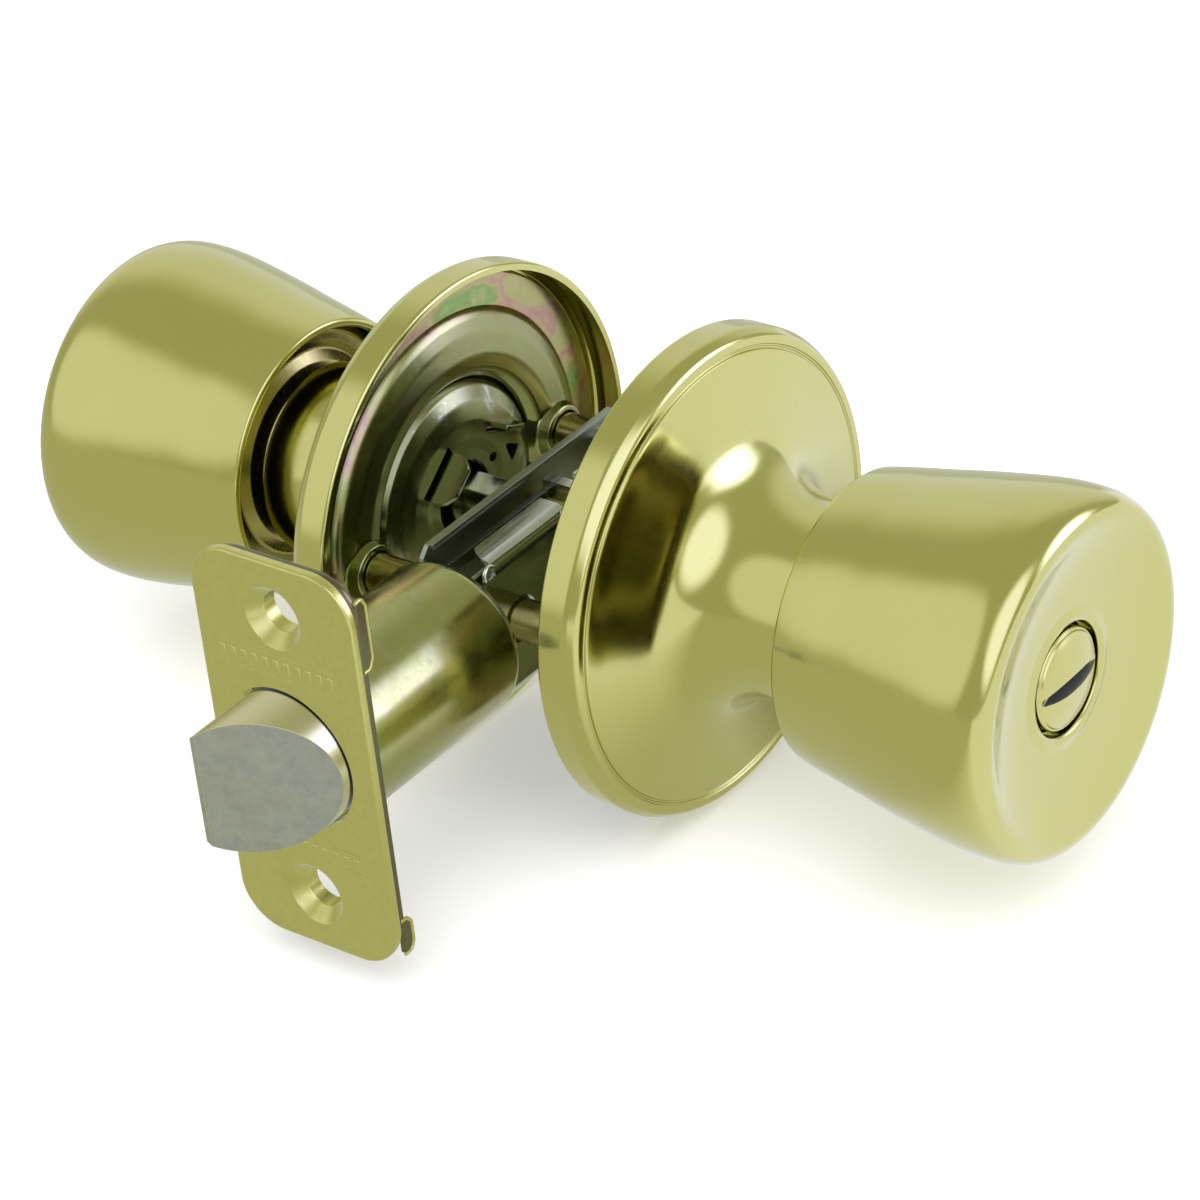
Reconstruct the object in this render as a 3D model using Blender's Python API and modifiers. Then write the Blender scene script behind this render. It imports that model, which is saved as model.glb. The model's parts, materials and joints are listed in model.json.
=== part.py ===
"""Tubular privacy lockset: two tulip knobs, two roses and an adjustable spring latch.

Frame: the origin is on the back of the latch's backing plate, where it sits on the mortise floor,
at the middle of the door's thickness and SEAT_Z above the latch axis.
+X runs along the spindle to the exterior knob, -Y points to the bolt, +Z is up.
The pieces are modelled about the point where the spindle axis crosses the latch axis, and the
empty lock_centre puts that point in its place in the frame.
Sizes below are millimetres; MM turns them into metres.
"""

import math

import bmesh
import bpy
from mathutils import Matrix, Vector

MM = 0.001

# Door preparation
HALF_DOOR = 17.45
BACKSET = 60.3
POST_Y = 20.8

# Rose and knob
ROSE_R = 33.0
KNOB_REAR = 43.7
BUTTON_HOLE_R = 7.5
BUTTON_R = 6.8
STEM_R = 3.2
STEM_END = 50.5
COIN_SLOT_FLOOR = 74.3
SHANK_R = 10.8
SHANK_BORE = 9.6

# Mounting plate, cap and spring pocket
PLATE_R = 30.8
CAP_R = 16.2
CAP_FACE = 19.65
SPRING_R = 13.6
SPRING_WIRE = 0.8
SPRING_START = 21.95
SPRING_RUN = 1.9
SPRING_TURNS = 1.1
POST_R = 2.8
POST_END = 18.6
POST_BORE = 1.9
SCREW_R = 1.6

# Spindle and lock bar
SPINDLE_R = 4.0
SPINDLE_FLAT = 3.3
SPINDLE_BORE = 2.7
SPINDLE_HALF = 31.5
D_CLEAR = 0.15
BAR_HALF = 57.5
BAR_WIDE = 4.6
BAR_THICK = 1.0

# Faceplate and bolt
PLATE_X = 12.7
PLATE_Z = 28.575
PLATE_CORNER = 6.35
PLATE_THICK = 1.5
SEAT_Y = -57.5
SEAT_Z = 26.5
SCREW_HOLE_Z = 20.6
BOLT_R = 9.5
BOLT_CENTRE_X = -0.6
BOLT_FLAT_X = -6.2
BOLT_THROW = 11.0
BOLT_REAR = -51.5
BOLT_CLEAR = 0.35

# Tube, retractor and case
TUBE_R = 11.05
TUBE_BORE = 10.25
CASE_IN = 4.7
CASE_OUT = 5.5
CASE_Z = 10.6
CASE_REAR = 14.5
HUB_R = 5.9
EAR_R = 9.4
EAR_HALF = 1.1
EAR_ANGLE = math.radians(37.5)

# Facets round each turned piece
FINE = 24
MEDIUM = 20
COARSE = 16
SINK_FACETS = 18
SHARP = math.radians(35)

for old in list(bpy.data.objects):
    bpy.data.objects.remove(old, do_unlink=True)

parts = bpy.data.collections.new("door_knob")
bpy.context.scene.collection.children.link(parts)
cutters = bpy.data.collections.new("cutters")
bpy.context.scene.collection.children.link(cutters)

BRASS = (0.62, 0.56, 0.24, 1.0)
ZINC = (0.42, 0.38, 0.18, 1.0)
STEEL = (0.52, 0.54, 0.50, 1.0)
SPRING_STEEL = (0.35, 0.36, 0.36, 1.0)


def principled(name, colour, roughness):
    mat = bpy.data.materials.new(name)
    mat.use_nodes = True
    shader = mat.node_tree.nodes["Principled BSDF"]
    shader.inputs["Base Color"].default_value = colour
    shader.inputs["Metallic"].default_value = 1.0
    shader.inputs["Roughness"].default_value = roughness
    return mat


def add_object(name, data, colour, roughness=0.3):
    """Links one named object; with no colour it is a cutter or a piece to be joined."""
    obj = bpy.data.objects.new(name, data)
    if colour is None:
        cutters.objects.link(obj)
        obj.hide_render = True
        obj.display_type = "WIRE"
    else:
        parts.objects.link(obj)
        data.materials.append(principled(name, colour, roughness))
    return obj


def signed_area(loop):
    total = 0.0
    for a, b in zip(loop, loop[1:] + loop[:1]):
        total += a[0] * b[1] - b[0] * a[1]
    return total / 2


# An axis of turning: local +Z is laid along the world direction named
AXIS_TURNS = {
    "+X": Matrix.Rotation(math.pi / 2, 4, "Y"),
    "-X": Matrix.Rotation(-math.pi / 2, 4, "Y"),
    "+Y": Matrix.Rotation(-math.pi / 2, 4, "X"),
}


def placed(way, centre):
    return Matrix.Translation(Vector(centre) * MM) @ AXIS_TURNS[way]


def spin_profile(name, profile, closed, way, colour, segments, roughness, centre):
    mesh = bpy.data.meshes.new(name)
    verts = [(r * MM, 0, h * MM) for r, h in profile]
    edges = [(i, i + 1) for i in range(len(verts) - 1)]
    if closed:
        edges.append((len(verts) - 1, 0))
    mesh.from_pydata(verts, edges, [])
    obj = add_object(name, mesh, colour, roughness)
    obj.matrix_world = placed(way, centre)
    spin = obj.modifiers.new("Turn", "SCREW")
    spin.axis = "Z"
    spin.angle = 2 * math.pi
    spin.steps = segments
    spin.render_steps = segments
    spin.use_merge_vertices = True
    spin.merge_threshold = 1e-6
    spin.use_smooth_shade = True
    return obj


def turned(name, loop, way, colour, segments=FINE, roughness=0.3, centre=(0, 0, 0)):
    """Turns a closed (radius, height) section; one that starts and ends on the axis is solid."""
    loop = list(loop)
    solid = loop[0][0] == 0
    if signed_area(loop) > 0:
        loop = loop[::-1]
    return spin_profile(name, loop, not solid, way, colour, segments, roughness, centre)


def turned_sheet(name, profile, thickness, way, colour, segments=FINE, roughness=0.3):
    """Turns an open profile, listed down its outer side, and thickens it inwards."""
    obj = spin_profile(name, profile, False, way, colour, segments, roughness, (0, 0, 0))
    wall = obj.modifiers.new("Sheet", "SOLIDIFY")
    wall.thickness = thickness * MM
    wall.offset = -1
    wall.use_even_offset = True
    return obj


def plate(name, outline, origin, u, v, depth, colour, roughness=0.3):
    """Flat outline in the u and v directions from origin, thickened by depth along u x v."""
    u = Vector(u).normalized()
    v = Vector(v).normalized()
    w = u.cross(v)
    middle = (Vector(origin) + w * depth / 2) * MM
    curve = bpy.data.curves.new(name, "CURVE")
    curve.dimensions = "2D"
    curve.fill_mode = "BOTH"
    curve.extrude = abs(depth) / 2 * MM
    spline = curve.splines.new("POLY")
    spline.points.add(len(outline) - 1)
    for point, (a, b) in zip(spline.points, outline):
        point.co = (a * MM, b * MM, 0, 1)
    spline.use_cyclic_u = True
    flat = bpy.data.objects.new(name + "_curve", curve)
    bpy.context.scene.collection.objects.link(flat)
    flat.matrix_world = Matrix((u, v, w)).transposed().to_4x4()
    flat.matrix_world.translation = middle
    frame = flat.matrix_world.copy()
    bpy.context.view_layer.update()
    evaluated = flat.evaluated_get(bpy.context.evaluated_depsgraph_get())
    mesh = bpy.data.meshes.new_from_object(evaluated)
    mesh.name = name
    mesh.materials.clear()
    bm = bmesh.new()
    bm.from_mesh(mesh)
    bmesh.ops.remove_doubles(bm, verts=bm.verts, dist=1e-6)
    bmesh.ops.recalc_face_normals(bm, faces=bm.faces)
    bm.to_mesh(mesh)
    bm.free()
    bpy.data.objects.remove(flat, do_unlink=True)
    obj = add_object(name, mesh, colour, roughness)
    obj.matrix_world = frame
    return obj


def block(name, low, high, colour=None, roughness=0.3):
    """Box between two corners, with its origin at its middle."""
    low = Vector(low) * MM
    high = Vector(high) * MM
    mesh = bpy.data.meshes.new(name)
    bm = bmesh.new()
    bmesh.ops.create_cube(bm, size=1)
    bmesh.ops.scale(bm, vec=high - low, verts=bm.verts)
    bm.to_mesh(mesh)
    bm.free()
    obj = add_object(name, mesh, colour, roughness)
    obj.location = (low + high) / 2
    return obj


def cylinder(name, radius, start, end, way, centre, segments=COARSE, colour=None):
    mesh = bpy.data.meshes.new(name)
    bm = bmesh.new()
    bmesh.ops.create_cone(
        bm,
        cap_ends=True,
        segments=segments,
        radius1=radius * MM,
        radius2=radius * MM,
        depth=(end - start) * MM,
    )
    bmesh.ops.translate(bm, vec=(0, 0, (start + end) / 2 * MM), verts=bm.verts)
    bm.to_mesh(mesh)
    bm.free()
    mesh.shade_smooth()
    mesh.set_sharp_from_angle(angle=SHARP)
    obj = add_object(name, mesh, colour)
    obj.matrix_world = placed(way, centre)
    return obj


def arc(centre, radius, start, end, steps):
    points = []
    for i in range(steps + 1):
        t = math.radians(start + (end - start) * i / steps)
        points.append((centre[0] + radius * math.cos(t), centre[1] + radius * math.sin(t)))
    return points


def rounded_rectangle(half_u, half_v, radius, steps=5):
    u = half_u - radius
    v = half_v - radius
    corners = [((u, v), 0), ((-u, v), 90), ((-u, -v), 180), ((u, -v), 270)]
    points = []
    for corner, angle in corners:
        points += arc(corner, radius, angle, angle + 90, steps)
    return points


def circle_with_flat(radius, flat, steps=20, centre=0.0):
    """Circle centred at (centre, 0), cut off at u = flat on its negative side."""
    reach = math.degrees(math.acos((flat - centre) / radius))
    return arc((centre, 0), radius, -reach, reach, steps)


def change(obj, other, operation):
    mod = obj.modifiers.new(other.name, "BOOLEAN")
    mod.operation = operation
    mod.solver = "EXACT"
    mod.object = other


def cut(obj, other):
    change(obj, other, "DIFFERENCE")


def join(obj, other):
    change(obj, other, "UNION")


def bevel(obj, width, segments=1):
    mod = obj.modifiers.new("Bevel", "BEVEL")
    mod.width = width * MM
    mod.segments = segments
    mod.limit_method = "ANGLE"
    mod.angle_limit = SHARP


def coil(name, radius, wire, axis, start, length, turns, per_turn, colour):
    """Round wire wound about the X or Y axis."""
    curve = bpy.data.curves.new(name, "CURVE")
    curve.dimensions = "3D"
    curve.bevel_depth = wire * MM
    curve.bevel_resolution = 0
    curve.use_fill_caps = True
    spline = curve.splines.new("POLY")
    count = int(turns * per_turn) + 1
    spline.points.add(count - 1)
    for i in range(count):
        t = 2 * math.pi * i / per_turn
        along = start + length * i / (count - 1)
        if axis == "X":
            point = (along, radius * math.cos(t), radius * math.sin(t))
        else:
            point = (radius * math.cos(t), along, radius * math.sin(t))
        spline.points[i].co = (point[0] * MM, point[1] * MM, point[2] * MM, 1)
    obj = bpy.data.objects.new(name, curve)
    parts.objects.link(obj)
    curve.materials.append(principled(name, colour, 0.35))
    return obj


def spindle_hole(name, low, high):
    """Through hole that fits the D-section of the spindle."""
    outline = circle_with_flat(SPINDLE_R + D_CLEAR, -SPINDLE_FLAT - D_CLEAR)
    return plate(name, outline, (low, 0, 0), (0, 0, -1), (0, 1, 0), high - low, None)


def rose(side, way):
    profile = [
        (13.5, 44.2),
        (13.5, 37.5),
        (13.8, 34.0),
        (14.6, 31.0),
        (15.8, 28.8),
        (17.3, 27.2),
        (19.3, 26.0),
        (22.5, 24.9),
        (27.0, 23.8),
        (30.4, 23.2),
        (32.2, 22.9),
        (32.85, 22.0),
        (ROSE_R, 20.5),
        (ROSE_R, HALF_DOOR),
    ]
    return turned_sheet(side + "_rose", profile, 0.7, way, BRASS)


def knob_shell(side, way):
    """Tulip shell: button hole with a turned-in lip, dished face, rounded front edge, tapering side."""
    profile = [
        (BUTTON_HOLE_R, 72.6),
        (BUTTON_HOLE_R, 74.4),
        (8.2, 74.9),
        (10.0, 74.7),
        (14.0, 75.0),
        (17.0, 75.7),
        (19.0, 76.7),
        (20.2, 77.3),
        (21.4, 77.5),
        (22.9, 76.8),
        (23.9, 75.2),
        (24.25, 72.5),
        (23.9, 67.5),
        (23.1, 61.7),
        (21.4, 52.7),
        (20.3, 46.6),
        (19.7, 44.4),
        (18.9, KNOB_REAR),
    ]
    return turned_sheet(side + "_knob_shell", profile, 0.8, way, BRASS)


def knob_insert(side, way):
    loop = [
        (19.3, 52.0),
        (19.3, 49.2),
        (18.6, 48.0),
        (14.0, 47.3),
        (SHANK_R, 46.6),
        (SHANK_R, 24.6),
        (10.2, 24.6),
        (10.2, 23.4),
        (SHANK_R, 23.4),
        (SHANK_R, 22.6),
        (SHANK_BORE, 22.6),
        (SHANK_BORE, 47.6),
        (13.6, 48.4),
        (17.9, 49.4),
        (18.1, 52.0),
    ]
    return turned(side + "_knob_insert", loop, way, ZINC, MEDIUM)


def stem_guide(side, way):
    loop = [(5.0, 58.0), (5.0, 54.0), (20.0, 54.0), (20.0, 53.0), (3.5, 53.0), (3.5, 58.0)]
    return turned(side + "_stem_guide", loop, way, STEEL, COARSE)


def retaining_ring(side, way, s):
    ring = turned(
        side + "_retaining_ring",
        [(12.4, 24.4), (12.4, 23.5), (10.4, 23.5), (10.4, 24.4)],
        way,
        SPRING_STEEL,
        MEDIUM,
    )
    low, high = sorted((s * 23.0, s * 25.0))
    cut(ring, block(side + "_ring_gap", (low, -1.5, 9.0), (high, 1.5, 14.0)))
    return ring


def spindle_plug(name, way, s):
    loop = [(0, 32.0), (9.3, 32.0), (9.3, 26.0), (0, 26.0)]
    plug = turned(name, loop, way, STEEL, COARSE)
    low, high = sorted((s * 25.0, s * 33.0))
    cut(plug, spindle_hole(name + "_bore", low, high))
    return plug


def return_driver(side, way, s):
    loop = [(12.2, 22.1), (12.2, 21.1), (5.2, 21.1), (5.2, 22.1)]
    driver = turned(side + "_return_driver", loop, way, STEEL, MEDIUM)
    low, high = sorted((s * 21.6, s * 23.1))
    for label, sign in (("upper", 1), ("lower", -1)):
        z0, z1 = sorted((sign * 11.2, sign * 12.0))
        finger = block(f"{side}_driver_finger_{label}", (low, -2.0, z0), (high, 2.0, z1))
        join(driver, finger)
        y0, y1 = sorted((sign * 8.6, sign * 13.0))
        notch = block(f"{side}_driver_notch_{label}", (s * 21.6 - 2, y0, -2.2), (s * 21.6 + 2, y1, 2.2))
        cut(driver, notch)
    return driver


def mounting_plate(side, way):
    profile = [
        (12.0, 30.0),
        (12.0, 25.6),
        (17.3, 25.6),
        (17.3, 21.6),
        (18.4, 20.8),
        (20.8, 20.4),
        (23.2, 20.55),
        (25.2, 21.3),
        (26.0, 22.15),
        (PLATE_R, 22.15),
    ]
    plate_disc = turned_sheet(side + "_mounting_plate", profile, 0.8, way, ZINC, FINE, 0.4)
    boss_loop = [(0, 20.7), (4.1, 20.7), (3.6, 18.5), (0, 18.5)]
    for label, y in (("front", -POST_Y), ("rear", POST_Y)):
        boss = turned(f"{side}_boss_{label}", boss_loop, way, None, COARSE, centre=(0, y, 0))
        join(plate_disc, boss)
        hole = cylinder(f"{side}_plate_hole_{label}", POST_R + 0.25, 17.0, 24.0, way, (0, y, 0))
        cut(plate_disc, hole)
    return plate_disc


def spring_cap(side, way, s):
    """Shallow cup over the spring pocket, with a lanced tongue, a lanced tab and two small holes."""
    profile = [
        (CAP_R, 23.6),
        (CAP_R, 21.8),
        (15.5, 20.9),
        (13.6, 19.95),
        (11.0, CAP_FACE),
        (5.4, CAP_FACE),
    ]
    cap = turned_sheet(side + "_spring_cap", profile, 0.8, way, ZINC, FINE, 0.35)
    flip = -s
    tongue = [(-3.8, 20.2), (3.8, 20.2), (3.8, 17.4), (2.2, 15.7), (-2.2, 15.7), (-3.8, 17.4)]
    along = Vector((0, -6.0 * flip, -4.7)).normalized()
    outward = Vector((s, 0, 0))
    root = Vector((0, -5.0 * flip, 6.15))
    join(cap, plate(side + "_tongue", tongue, root, along, outward, 0.9, None))
    tab = [(-2.6, 20.2), (2.6, 20.2), (2.6, 17.6), (-2.0, 17.0)]
    along = Vector((0, 7.0 * flip, -3.15)).normalized()
    root = Vector((0, 9.0 * flip, 6.6))
    join(cap, plate(side + "_tab", tab, root, along, outward, 0.8, None))
    triangle = [(9.1, 3.6), (12.0, 2.0), (10.3, 1.0)]
    hole = [(flip * y, z) for y, z in triangle]
    low, _ = sorted((s * 18.5, s * 21.5))
    cut(cap, plate(side + "_cap_window", hole, (low, 0, 0), (0, 1, 0), (0, 0, 1), 3.0, None))
    cut(cap, cylinder(side + "_cap_hole", 0.6, 18.5, 21.5, way, (0, 6.6 * flip, 3.0), 8))
    return cap


def torsion_spring(side, s):
    return coil(
        side + "_torsion_spring",
        SPRING_R,
        SPRING_WIRE,
        "X",
        s * SPRING_START,
        s * SPRING_RUN,
        SPRING_TURNS,
        MEDIUM,
        SPRING_STEEL,
    )


def lock_stem(name, way, s, face):
    """Round button with a retaining flange and a stem that is slotted for the lock bar."""
    loop = face + [
        (BUTTON_R, 72.0),
        (8.1, 72.0),
        (8.1, 70.6),
        (STEM_R, 70.6),
        (STEM_R, STEM_END),
        (0, STEM_END),
    ]
    button = turned(name, loop, way, BRASS, MEDIUM)
    low, high = sorted((s * (STEM_END - 1), s * (BAR_HALF + 0.5)))
    half_y = BAR_WIDE / 2 + 0.15
    half_z = BAR_THICK / 2 + 0.15
    cut(button, block(name + "_bar_slot", (low, -half_y, -half_z), (high, half_y, half_z)))
    return button


def side_parts(side, way, s):
    rose(side, way)
    knob_shell(side, way)
    knob_insert(side, way)
    stem_guide(side, way)
    retaining_ring(side, way, s)
    return_driver(side, way, s)
    mounting_plate(side, way)
    spring_cap(side, way, s)
    torsion_spring(side, s)


# Exterior side
side_parts("ext", "+X", 1)
spindle_plug("ext_spindle_plug", "+X", 1)
dome = [(0, 76.0), (3.0, 75.85), (5.2, 75.4), (6.3, 74.9), (BUTTON_R, 74.3)]
release = lock_stem("emergency_button", "+X", 1, dome)
cut(release, block("coin_slot", (COIN_SLOT_FLOOR, -9.0, -1.0), (80.0, 9.0, 1.0)))
for place, y in (("front", -POST_Y), ("rear", POST_Y)):
    post_loop = [
        (0, 22.0),
        (3.3, 22.0),
        (3.3, 21.3),
        (POST_R, 21.3),
        (POST_R, -POST_END),
        (POST_BORE, -POST_END),
        (POST_BORE, 8.0),
        (0, 9.0),
    ]
    turned("ext_post_" + place, post_loop, "+X", ZINC, COARSE, centre=(0, y, 0))

# Interior side
side_parts("int", "-X", -1)
spindle_plug("int_spindle_socket", "-X", -1)
base = [(0, 76.0), (6.2, 76.0), (BUTTON_R, 75.4)]
turn = lock_stem("turn_button", "-X", -1, base)
grip = [
    (-6.0, 75.6),
    (6.0, 75.6),
    (6.6, 79.5),
    (6.0, 84.0),
    (4.6, 85.4),
    (-4.6, 85.4),
    (-6.0, 84.0),
    (-6.6, 79.5),
]
blade = plate("turn_grip", grip, (0, 1.7, 0), (0, 0, 1), (-1, 0, 0), 3.4, None)
bevel(blade, 0.5)
join(turn, blade)
int_rose = bpy.data.objects["int_rose"]
for place, y in (("front", -POST_Y), ("rear", POST_Y)):
    cut(int_rose, cylinder("int_rose_hole_" + place, 4.1, 20.0, 32.0, "-X", (0, y, 0)))
    screw_loop = [
        (0, 23.6),
        (2.4, 23.5),
        (3.3, 22.7),
        (3.3, 21.4),
        (SCREW_R, 21.4),
        (SCREW_R, -5.0),
        (0, -6.0),
    ]
    screw = turned("int_screw_" + place, screw_loop, "-X", STEEL, COARSE, centre=(0, y, 0))
    cut(screw, block("screw_slot_z_" + place, (-26, y - 0.5, -2.2), (-22.4, y + 0.5, 2.2)))
    cut(screw, block("screw_slot_y_" + place, (-26, y - 2.2, -0.5), (-22.4, y + 2.2, 0.5)))

# Spindle and lock bar
d_section = circle_with_flat(SPINDLE_R, -SPINDLE_FLAT, FINE)
spindle = plate(
    "spindle", d_section, (-SPINDLE_HALF, 0, 0), (0, 0, -1), (0, 1, 0), 2 * SPINDLE_HALF, STEEL
)
cut(spindle, cylinder("spindle_bore", SPINDLE_BORE, -40, 40, "+X", (0, 0, 0)))
block(
    "lock_bar",
    (-BAR_HALF, -BAR_WIDE / 2, -BAR_THICK / 2),
    (BAR_HALF, BAR_WIDE / 2, BAR_THICK / 2),
    STEEL,
)

# Faceplate
FRONT = -BACKSET
BACK = FRONT + PLATE_THICK
outline = rounded_rectangle(PLATE_X, PLATE_Z, PLATE_CORNER)
faceplate = plate(
    "faceplate", outline, (0, BACK, 0), (1, 0, 0), (0, 0, 1), PLATE_THICK, BRASS
)
bevel(faceplate, 0.35)
cone = [(0, -59.3), (4.6, -59.3), (3.6, -56.4), (0, -56.4)]
sink = [(0, -61.3), (5.1, -61.3), (2.6, -58.3), (2.6, -55.0), (0, -55.0)]
both_screws = (("upper", SCREW_HOLE_Z), ("lower", -SCREW_HOLE_Z))
for place, z0, z1 in (("upper", 11.7, 15.2), ("lower", -14.85, -11.75)):
    join(faceplate, block("embossed_bar_" + place, (-9.9, FRONT - 0.25, z0), (8.9, FRONT + 0.3, z1)))
for place, z in both_screws:
    join(faceplate, turned("drawn_cone_" + place, cone, "+Y", None, COARSE, centre=(0, 0, z)))
for place, z in both_screws:
    cut(faceplate, turned("countersink_" + place, sink, "+Y", None, SINK_FACETS, centre=(0, 0, z)))
opening = circle_with_flat(
    BOLT_R + BOLT_CLEAR, BOLT_FLAT_X - BOLT_CLEAR, MEDIUM, BOLT_CENTRE_X
)
cut(faceplate, plate("bolt_opening", opening, (0, BACK + 4, 0), (1, 0, 0), (0, 0, 1), 8.0, None))

# Backing plate with hooked edges
outline = rounded_rectangle(12.1, 27.9, 5.8)
backing = plate("backing_plate", outline, (0, SEAT_Y, 0), (1, 0, 0), (0, 0, 1), 1.0, STEEL)
ears = {
    "upper": [(-58.2, 25.0), (-56.6, 25.0), (-55.6, 24.0), (-55.6, 16.4), (-56.4, 15.2), (-58.2, 15.2)],
    "lower": [(-58.2, -27.0), (-56.2, -27.0), (-55.4, -26.0), (-55.4, -22.8), (-56.2, -22.0), (-58.2, -22.0)],
}
for place, sign in (("upper", 1), ("lower", -1)):
    for hand, x in (("left", -12.1), ("right", 11.3)):
        name = f"backing_ear_{place}_{hand}"
        join(backing, plate(name, ears[place], (x, 0, 0), (0, 1, 0), (0, 0, 1), 0.8, None))
    z = sign * SCREW_HOLE_Z
    cut(backing, cylinder("backing_hole_" + place, 5.0, -62, -52, "+Y", (0, 0, z)))
cut(backing, plate("backing_opening", opening, (0, BACK + 4, 0), (1, 0, 0), (0, 0, 1), 8.0, None))

# Latch tube
tube_profile = [(9.2, -27.2), (10.1, -27.6), (10.75, -28.7), (TUBE_R, -30.2), (TUBE_R, -57.2)]
turned_sheet("latch_tube", tube_profile, TUBE_R - TUBE_BORE, "+Y", ZINC)

# Bolt, its spring, seat and rod
TIP = FRONT - BOLT_THROW
section = circle_with_flat(BOLT_R, BOLT_FLAT_X, MEDIUM, BOLT_CENTRE_X)
bolt = plate(
    "latch_bolt", section, (0, BOLT_REAR, 0), (1, 0, 0), (0, 0, 1), BOLT_REAR - TIP, BRASS
)
slope = [(-5.4, TIP), (9.6, FRONT - 0.6), (9.6, TIP - 4), (-5.4, TIP - 4)]
cut(bolt, plate("bolt_bevel", slope, (0, 0, -14), (1, 0, 0), (0, 1, 0), 28, None))
cut(bolt, cylinder("bolt_bore", 5.8, -59.8, -45, "+Y", (0, 0, 0)))
coil("bolt_spring", 4.5, 0.6, "Y", -59.0, 18.5, 5.0, 12, SPRING_STEEL)
seat_loop = [(9.9, -38.6), (9.9, -39.6), (2.1, -39.6), (2.1, -38.6)]
turned("spring_seat", seat_loop, "+Y", STEEL, MEDIUM)
rod_loop = [
    (0, -59.4),
    (2.6, -59.4),
    (2.6, -58.4),
    (1.6, -58.4),
    (1.6, -36.0),
    (3.0, -36.0),
    (3.0, -35.0),
    (0, -35.0),
]
turned("bolt_rod", rod_loop, "+Y", STEEL, COARSE)

# Retractor: front web, four strips past the front post, and a cross hook behind each hub ear
retractor = block("retractor", (-3.0, -38.2, -8.0), (3.0, -36.2, 8.0), STEEL)
cut(retractor, cylinder("retractor_hole", 2.0, -40, -34, "+Y", (0, 0, 0)))
for place, sign in (("upper", 1), ("lower", -1)):
    z0, z1 = sorted((sign * 6.3, sign * 8.0))
    for hand, x0 in (("left", -3.0), ("right", 2.2)):
        join(retractor, block(f"strip_{place}_{hand}", (x0, -36.5, z0), (x0 + 0.8, -1.7, z1)))
    z0, z1 = sorted((sign * 7.0, sign * EAR_R))
    join(retractor, block("cross_hook_" + place, (-2.95, -3.5, z0), (2.95, -1.75, z1)))

# Hub on the spindle
hub = turned("latch_hub", [(0, 5.9), (HUB_R, 5.9), (HUB_R, -5.9), (0, -5.9)], "+X", STEEL, MEDIUM)
ear = [(-EAR_HALF, 3.0), (EAR_HALF, 3.0), (EAR_HALF, EAR_R - 0.3), (0, EAR_R), (-EAR_HALF, EAR_R - 0.3)]
for place, sign in (("upper", 1), ("lower", -1)):
    radial = Vector((0, -math.sin(EAR_ANGLE), sign * math.cos(EAR_ANGLE)))
    across = Vector((0, math.cos(EAR_ANGLE), sign * math.sin(EAR_ANGLE)))
    start = Vector((-1.6, 0, 0)) if across.cross(radial).x > 0 else Vector((1.6, 0, 0))
    join(hub, plate("hub_ear_" + place, ear, start, across, radial, 3.2, None))
cut(hub, spindle_hole("hub_bore", -8, 8))

# Case sides and the pins between them
side_outline = [
    (-31.0, 6.4),
    (-26.6, 6.4),
    (-26.6, 9.2),
    (-25.2, CASE_Z),
    (CASE_REAR, CASE_Z),
    (CASE_REAR, -CASE_Z),
    (-25.2, -CASE_Z),
    (-26.6, -9.2),
    (-26.6, -6.4),
    (-31.0, -6.4),
]
case_left = plate(
    "case_left", side_outline, (-CASE_OUT, 0, 0), (0, 1, 0), (0, 0, 1), CASE_OUT - CASE_IN, STEEL
)
case_right = plate(
    "case_right", side_outline, (CASE_IN, 0, 0), (0, 1, 0), (0, 0, 1), CASE_OUT - CASE_IN, STEEL
)
front_flange = [(CASE_OUT, -24.6), (CASE_OUT, -9.0), (1.0, -9.0), (1.0, -21.0), (1.8, -23.2), (3.4, -24.6)]
rear_flange = [(CASE_OUT, -2.0), (CASE_OUT, CASE_REAR), (1.0, CASE_REAR), (1.0, -1.0), (2.0, -2.0)]
for place, z in (("upper", CASE_Z - 0.8), ("lower", -CASE_Z)):
    for label, shape in (("front", front_flange), ("rear", rear_flange)):
        name = f"flange_{place}_{label}"
        join(case_right, plate(name, shape, (0, 0, z), (1, 0, 0), (0, 1, 0), 0.8, None))
for side_plate in (case_left, case_right):
    name = side_plate.name
    cut(side_plate, cylinder(name + "_hub_hole", HUB_R + 0.35, -8, 8, "+X", (0, 0, 0), MEDIUM))
    cut(side_plate, cylinder(name + "_post_hole", POST_R + 0.5, -8, 8, "+X", (0, -POST_Y, 0)))
for place, z in (("upper", 7.0), ("lower", -7.0)):
    cylinder("case_pin_" + place, 1.3, -4.4, 4.4, "+X", (0, 12.0, z), 12, STEEL)

# Empties on the joint axes carry the pieces that move together
MOVING = {
    "exterior_knob_axis": [
        "ext_knob_shell",
        "ext_knob_insert",
        "ext_spindle_plug",
        "ext_retaining_ring",
        "ext_return_driver",
        "ext_stem_guide",
        "spindle",
    ],
    "interior_knob_axis": [
        "int_knob_shell",
        "int_knob_insert",
        "int_spindle_socket",
        "int_retaining_ring",
        "int_return_driver",
        "int_stem_guide",
    ],
    "lock_axis": ["lock_bar", "emergency_button", "turn_button"],
    "hub_axis": ["latch_hub"],
    "retractor_slide": ["retractor"],
    "bolt_slide": ["latch_bolt", "bolt_rod"],
}
for name, members in MOVING.items():
    axis = bpy.data.objects.new(name, None)
    axis.empty_display_size = 10 * MM
    parts.objects.link(axis)
    for member in members:
        bpy.data.objects[member].parent = axis

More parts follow.
